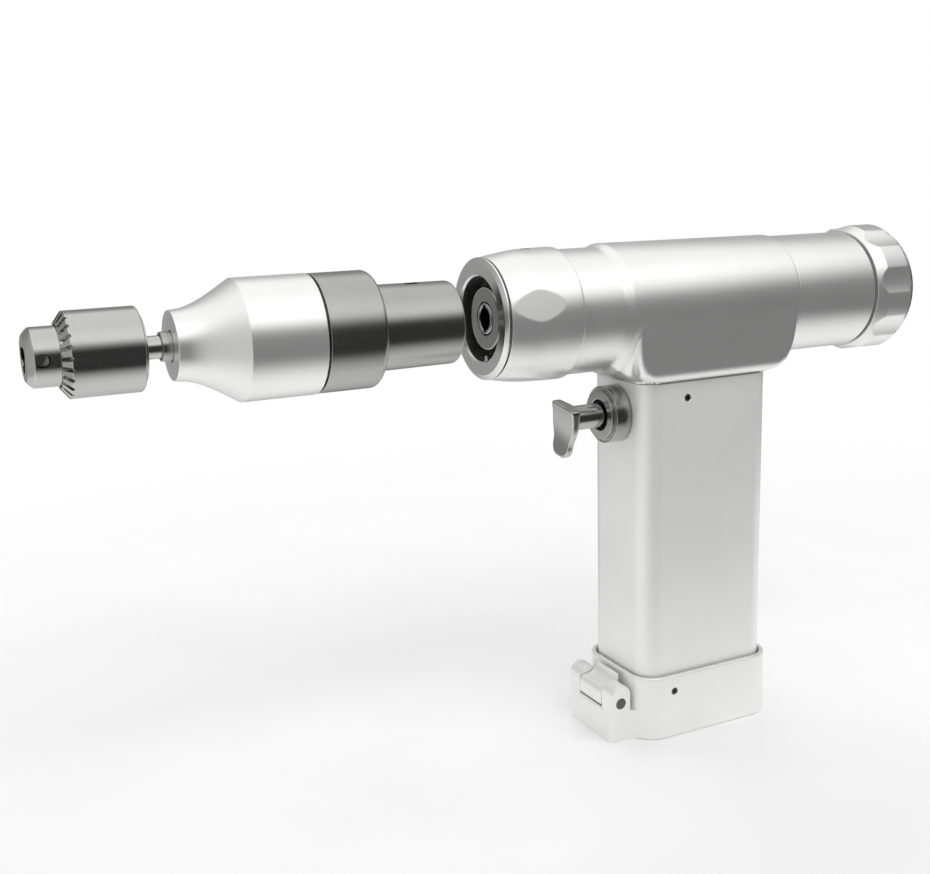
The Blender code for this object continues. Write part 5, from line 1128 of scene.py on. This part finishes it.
class DRILL_OT_attachment(bpy.types.Operator):
    """Make the attachment's housing, coupling stub, bush and drive shaft"""

    bl_idname = "drill.attachment"
    bl_label = "Attachment"

    def execute(self, context):
        outline = [(44.1, 5.05, 0.2), (44.1, 11.3, 0.35), (46.1, 11.5, 0.0)]
        for share in np.linspace(0.04, 0.98, 40):
            rise = 0.42 * share**1.35 + 0.58 * (3 * share**2 - 2 * share**3)
            rise = rise * 0.35 + 0.65 * share**1.75
            outline.append((46.1 + 18.8 * share, 11.5 + 8.65 * rise, 0.0))
        outline += [(64.9, 20.15, 0.5), (90.0, 20.15, 0.3), (90.0, 16.65), (65.9, 16.65)]
        outline += [(57.1, 8.4), (48.1, 8.4), (48.1, 5.05)]
        housing = turned("attachment_housing", outline)
        show("housing", housing, "satin_aluminium", "attachment", ["attachment_housing"], LINE)

        outline = [(40.8, 4.0, 0.1), (40.8, 4.75, 0.3), (47.8, 4.75), (47.8, 4.0)]
        bush = turned("shaft_bush", outline, 0.1, 96)
        show("bush", bush, "polished_steel", "attachment", ["shaft_bush"], LINE, "satin_steel")

        outline = [(82.7, 13.35), (82.7, 16.35), (90.8, 16.35), (90.8, 20.0, 0.3)]
        outline += [(111.2, 20.0, 2.0), (111.2, 15.2, 0.2), (111.6, 14.75, 0.2)]
        outline += [(141.7, 14.5, 1.5), (141.7, 11.6, 0.2), (112.6, 11.6), (112.6, 4.6)]
        outline += [(111.4, 4.6), (111.4, 8.4), (104.8, 8.4), (104.8, 13.35)]
        stub = turned("attachment_coupling", outline, 0.2)
        slot = block("slot", (124.375, -2.7, 12.9), (129.425, 2.7, 18.0))
        keyway = block("keyway", (112.8, -2.0, -18.0), (142.8, 2.0, -12.8))
        stub = cut(stub, slot, keyway)
        show("stub", stub, "satin_steel", "attachment", ["attachment_coupling"], LINE)

        outline = [(21.3, 1.3), (21.3, 3.3), (21.7, 3.7), (141.4, 3.7, 0.4), (141.7, 2.4, 0.1)]
        outline += [(145.2, 2.4, 0.6), (145.2, 1.3, 0.1)]
        shaft = turned("drive_shaft", outline, 0.1, 96)
        outline = [(-0.65, 3.1), (0.65, 3.1), (0.65, 4.5), (-0.65, 4.5)]
        key = plate("key", outline, 123.3, 137.3, "X", 0.15)
        shaft = merged("drive_shaft", shaft, copies(key, 2, 0.0, "polished_steel"))
        show("shaft", shaft, "polished_steel", "drive_line", ["drive_shaft"], LINE)
        return {"FINISHED"}


def jaw_place(number):
    """The turn and place of a jaw, whose local X runs back along its guide hole."""
    spin = math.tau * (number + 0.5) / 3
    place = Matrix.Rotation(spin, 4, "X") @ Matrix.Translation((0, 0, 2.35 * MM))
    return place @ Matrix.Rotation(-JAW_LEAN, 4, "Y")


class DRILL_OT_chuck(bpy.types.Operator):
    """Make the keyed chuck: body, notched sleeve and three jaws"""

    bl_idname = "drill.chuck"
    bl_label = "Chuck"

    def execute(self, context):
        sizes = context.scene.drill_sizes
        outline = [(0.0, 3.4, 0.2), (0.0, 7.2, 0.3), (1.2, 8.6, 0.4), (2.1, 9.3, 0.5)]
        outline += [(11.5, 9.3), (11.5, 8.9), (12.8, 8.9), (12.8, 7.2), (17.6, 7.2)]
        outline += [(17.6, 8.9), (29.9, 8.9), (29.9, 11.8), (33.9, 11.8), (33.9, 11.05)]
        outline += [(35.1, 11.05, 0.35), (35.1, 4.0, 0.2)]
        outline += [(21.0, 4.0), (21.0, 1.5), (19.8, 1.5), (19.8, 3.4)]
        body = turned("chuck_body", outline, 0.12)
        guide = turned("guide", [(-6.0, 0), (-6.0, 2.3), (30.1, 2.3), (30.1, 0)], 0.0, 48)
        guide.transform(jaw_place(-0.5))
        guides = copies(guide, 3, math.pi / 3, "polished_steel")
        outline = [(5.5, 0), (5.5, 1.85), (8.6, 1.85), (9.2, 2.25), (12.0, 2.25), (12.0, 0)]
        key = turned("key_hole", outline, 0.0, 48)
        key.transform(Matrix.Translation((4.4 * MM, 0, 0)) @ UPRIGHT)
        keys = copies(key, 3, math.pi / 2, "polished_steel")
        body = cut(body, guides, keys)
        show("chuck_core", body, "polished_steel", "drive_line", ["chuck_body"], LINE)

        outline = [(9.7, 9.7, 0.15), (9.7, 10.3, 0.2), (12.1, 13.5, 0.5), (33.7, 13.5, 0.5)]
        outline += [(34.1, 13.0, 0.2), (34.1, 12.2), (12.9, 12.2), (12.9, 9.7)]
        sleeve = turned("chuck_sleeve", outline, 0.1, 192)
        half = sizes.notch_width / MM / 2
        notch = [(8.0, -half), (12.1, -half)] + arc((12.1, 0), half, -90, 90, 10) + [(8.0, half)]
        notch = plate("notch", notch, 9.95, 16.0, "Z", 0.15)
        lean = Matrix.Translation((10.0 * MM, 0, 0)) @ Matrix.Rotation(0.22, 4, "Z")
        notch.transform(lean @ Matrix.Translation((-10.0 * MM, 0, 0)))
        notches = copies(notch, sizes.key_notches, 0.0, "polished_steel")
        sleeve = cut(sleeve, notches)
        show("key_sleeve", sleeve, "polished_steel", "chuck_sleeve", ["chuck_sleeve"], LINE)

        shift = Vector((math.cos(JAW_LEAN), 0, math.sin(JAW_LEAN))) * JAW_TIP
        for number in range(3):
            outline = [(10.0, 0), (10.0, 2.0), (30.0, 2.0), (30.0, 0)]
            jaw = turned("jaw", outline, 0.2, 48)
            jaw.transform(jaw_place(number))
            wedges = []
            for side in (-1, 1):
                wedge = block("wedge", (-10, -20, -20), (40, 20, 0.15))
                spin = Matrix.Rotation(math.tau * (number + 0.5) / 3, 4, "X")
                lean = Matrix.Rotation(side * math.radians(30), 4, "X")
                wedge.transform(spin @ Matrix.Translation(shift * MM) @ lean)
                wedges.append(wedge)
            jaw = cut(jaw, *wedges)
            name = f"chuck_jaw_{number + 1}"
            show(f"jaw_{number + 1}_rod", jaw, "polished_steel", f"jaw_{number + 1}", [name], LINE)
        return {"FINISHED"}


class DRILL_OT_inner_works(bpy.types.Operator):
    """Give the motor, gears, bearings, boards, springs and contacts their finishes"""

    bl_idname = "drill.inner_works"
    bl_label = "Inner works"

    def execute(self, context):
        slots = {row["slot"]: row for row in frame["record"]["materials"]}
        for name, thing in frame["nodes"].items():
            if not thing.material_slots:
                raise RuntimeError(f"{name} has no material slot")
            material = thing.material_slots[0].material
            slot = material.name.split(".")[0]
            if slot not in slots:
                raise RuntimeError(f"{name} has the unknown slot {slot}")
            thing.material_slots[0].material = finish(slot)
        return {"FINISHED"}


def card_material(settings):
    """The tone of the cards: dark beside the drill, paler behind it and at its nose, and
    white higher up and along the drill's middle line."""
    material = bpy.data.materials.new("card")
    material.use_nodes = True
    tree = material.node_tree
    tree.nodes.clear()
    graph = Graph(tree)
    place = graph.node("ShaderNodeTexCoord", {}, {}, "Object")
    split = graph.node("ShaderNodeSeparateXYZ", {}, {"Vector": place}).socket.node
    x, y, z = (Term(graph, split.outputs[letter]) for letter in "XYZ")
    aside = y.sum("ABSOLUTE", y)
    far = graph.ramp(y, -0.05, 0.22)
    dark = settings.card + (settings.far_card - settings.card) * far
    dark = dark + graph.ramp(x, -0.36, -0.20, 0.5, 0.0) * (1 - far)
    front = graph.ramp(x, -0.25, -0.05, 0.5, 0.0) * graph.ramp(z, 0.03, 0.09, 1.0, 0.0)
    dark = dark + front * far
    tray = graph.ramp(aside, 0.02, 0.25, 0.92, 0.0) * graph.ramp(z, 0.0, 0.06, 1.0, 0.0)
    low = dark + tray * (1 - dark)
    rise = graph.ramp(z, 0.22 + 0.09 * far, 0.44 + 0.18 * far)
    tone = low + rise * (1 - low)
    inputs = {"Color": graph.node("ShaderNodeCombineXYZ", {}, {0: tone, 1: tone, 2: tone})}
    glow = graph.node("ShaderNodeEmission", {}, inputs)
    out = tree.nodes.new("ShaderNodeOutputMaterial")
    graph.feed(out.inputs["Surface"], glow)
    return material


def floor_material(colour):
    """A pale floor that keeps the shadow near the drill and runs out into white."""
    material = bpy.data.materials.new("floor")
    material.use_nodes = True
    tree = material.node_tree
    graph = Graph(tree)
    shader = tree.nodes["Principled BSDF"]
    place = graph.node("ShaderNodeTexCoord", {}, {}, "Object")
    cloud = graph.noise(place, 12.0, 3.0)
    tone = graph.mixed(graph.ramp(cloud, 0.3, 0.7), shade(colour, 0.99), shade(colour, 1.01))
    graph.feed(shader.inputs["Base Color"], tone)
    shader.inputs["Roughness"].default_value = 0.9
    shader.inputs["Specular IOR Level"].default_value = 0.0
    length = graph.node("ShaderNodeVectorMath", {"operation": "LENGTH"}, {0: place}, "Value")
    far = graph.ramp(length, 0.25, 0.60)
    white = graph.node("ShaderNodeEmission", {}, {"Color": (1, 1, 1, 1), "Strength": 1.0})
    inputs = {0: far, 1: Term(graph, shader.outputs[0]), 2: white}
    both = graph.node("ShaderNodeMixShader", {}, inputs)
    graph.feed(tree.nodes["Material Output"].inputs["Surface"], both)
    return material


class DRILL_OT_studio(bpy.types.Operator):
    """Set the floor, the cards, the lamps, the world and the camera"""

    bl_idname = "drill.studio"
    bl_label = "Studio"

    def execute(self, context):
        settings = context.scene.drill_studio
        self.make_floor(settings)
        self.make_cards(settings)
        self.make_lamps(settings)
        self.make_world(settings)
        self.make_camera(settings)
        return {"FINISHED"}

    def make_floor(self, settings):
        bm = bmesh.new()
        bmesh.ops.create_grid(bm, x_segments=2, y_segments=2, size=6.0)
        floor = loose(made_mesh("floor", bm))
        floor.data.materials.append(floor_material(tuple(settings.floor)))

    def make_cards(self, settings):
        """A tray and a wall round the drill, which only the metal mirrors."""
        reach, middle = settings.card_distance, -0.05
        profile = [(0.06, 0.003), (0.2, 0.003), (reach, 0.003)]
        profile += [(reach, z) for z in np.linspace(0.1, 0.9, 9)]
        bm = bmesh.new()
        rows = []
        sides = 64
        turns = [math.tau * side / sides for side in range(sides)]
        for radius, z in profile:
            ring = [(middle + radius * math.cos(a), radius * math.sin(a), z) for a in turns]
            rows.append([bm.verts.new(point) for point in ring])
        for lower, upper in zip(rows, rows[1:]):
            for i in range(sides):
                bm.faces.new((lower[i], lower[i - 1], upper[i - 1], upper[i]))
        mesh = bpy.data.meshes.new("cards")
        bm.to_mesh(mesh)
        bm.free()
        cards = loose(mesh)
        cards.data.materials.append(card_material(settings))
        cards.visible_camera = False
        cards.visible_diffuse = False
        cards.visible_shadow = False
        cards.visible_transmission = False

    def make_lamps(self, settings):
        for name, place, length, height, share in (
            ("main_lamp", (0.15, -0.80, 1.10), 1.7, 0.6, 1.0),
            ("rear_lamp", (0.0, 0.85, 1.00), 1.5, 0.6, 0.6),
        ):
            lamp = bpy.data.lights.new(name, "AREA")
            lamp.shape = "RECTANGLE"
            lamp.size = length
            lamp.size_y = height
            lamp.energy = settings.lamp * share
            thing = bpy.data.objects.new(name, lamp)
            thing.location = place
            aim = Vector((place[0], 0, 0.15)) - Vector(place)
            thing.rotation_euler = aim.to_track_quat("-Z", "Y").to_euler()
            bpy.context.scene.collection.objects.link(thing)

    def make_world(self, settings):
        world = bpy.data.worlds.new("studio")
        world.use_nodes = True
        tree = world.node_tree
        graph = Graph(tree)
        light = graph.node("ShaderNodeLightPath", {}, {}, "Is Camera Ray")
        path = light.socket.node
        seen = light + Term(graph, path.outputs["Is Glossy Ray"])
        seen = seen + Term(graph, path.outputs["Is Transmission Ray"])
        level = graph.ramp(seen, 0.0, 0.5, settings.ambient, 1.0)
        back = tree.nodes["Background"]
        back.inputs["Color"].default_value = (1, 1, 1, 1)
        graph.feed(back.inputs["Strength"], level)
        bpy.context.scene.world = world

    def make_camera(self, settings):
        """The camera that was fitted to the photograph, drawn back a little so that the
        attachment stays in the picture."""
        turn, rise, roll = math.radians(-26.88), math.radians(12.38), math.radians(-1.4)
        level = math.cos(rise)
        back = Vector((math.sin(turn) * level, -math.cos(turn) * level, math.sin(rise)))
        right = Vector((math.cos(turn), math.sin(turn), 0))
        up = back.cross(right)
        across = math.cos(roll) * right + math.sin(roll) * up
        upward = -math.sin(roll) * right + math.cos(roll) * up
        place = (1.79 * across - 41.65 * upward + 441.8 * back) * MM + Vector((FACE, 0, AXIS))
        camera = bpy.data.cameras.new("camera")
        camera.lens = settings.focus
        camera.shift_x = -0.0198
        camera.clip_start = 0.01
        thing = bpy.data.objects.new("camera", camera)
        turned_to = Matrix((across, upward, back)).transposed().to_4x4()
        thing.matrix_world = Matrix.Translation(place) @ turned_to
        bpy.context.scene.collection.objects.link(thing)
        bpy.context.scene.camera = thing
        bpy.context.scene.view_settings.view_transform = "Standard"


STEPS = (
    DRILL_OT_studio,
    DRILL_OT_inner_works,
    DRILL_OT_barrel,
    DRILL_OT_coupling,
    DRILL_OT_lock_ring,
    DRILL_OT_rear,
    DRILL_OT_handle,
    DRILL_OT_trigger,
    DRILL_OT_cap,
    DRILL_OT_attachment,
    DRILL_OT_chuck,
)


class DRILL_PT_panel(bpy.types.Panel):
    """Lists the settings and the steps that make the drill"""

    bl_idname = "DRILL_PT_panel"
    bl_label = "Surgical drill"
    bl_space_type = "VIEW_3D"
    bl_region_type = "UI"
    bl_category = "Drill"

    def draw(self, context):
        for group in ("drill_sizes", "drill_finish", "drill_studio"):
            settings = getattr(context.scene, group)
            box = self.layout.box()
            for name in settings.__annotations__:
                box.prop(settings, name)
        for step in STEPS:
            self.layout.operator(step.bl_idname)


CLASSES = (SizeSettings, FinishSettings, StudioSettings, *STEPS, DRILL_PT_panel)


def register():
    for item in CLASSES:
        bpy.utils.register_class(item)
    bpy.types.Scene.drill_sizes = PointerProperty(type=SizeSettings)
    bpy.types.Scene.drill_finish = PointerProperty(type=FinishSettings)
    bpy.types.Scene.drill_studio = PointerProperty(type=StudioSettings)


def unregister():
    del bpy.types.Scene.drill_studio
    del bpy.types.Scene.drill_finish
    del bpy.types.Scene.drill_sizes
    for item in reversed(CLASSES):
        bpy.utils.unregister_class(item)


def main():
    register()
    for step in STEPS:
        group, name = step.bl_idname.split(".")
        getattr(getattr(bpy.ops, group), name)()


if __name__ == "__main__":
    main()
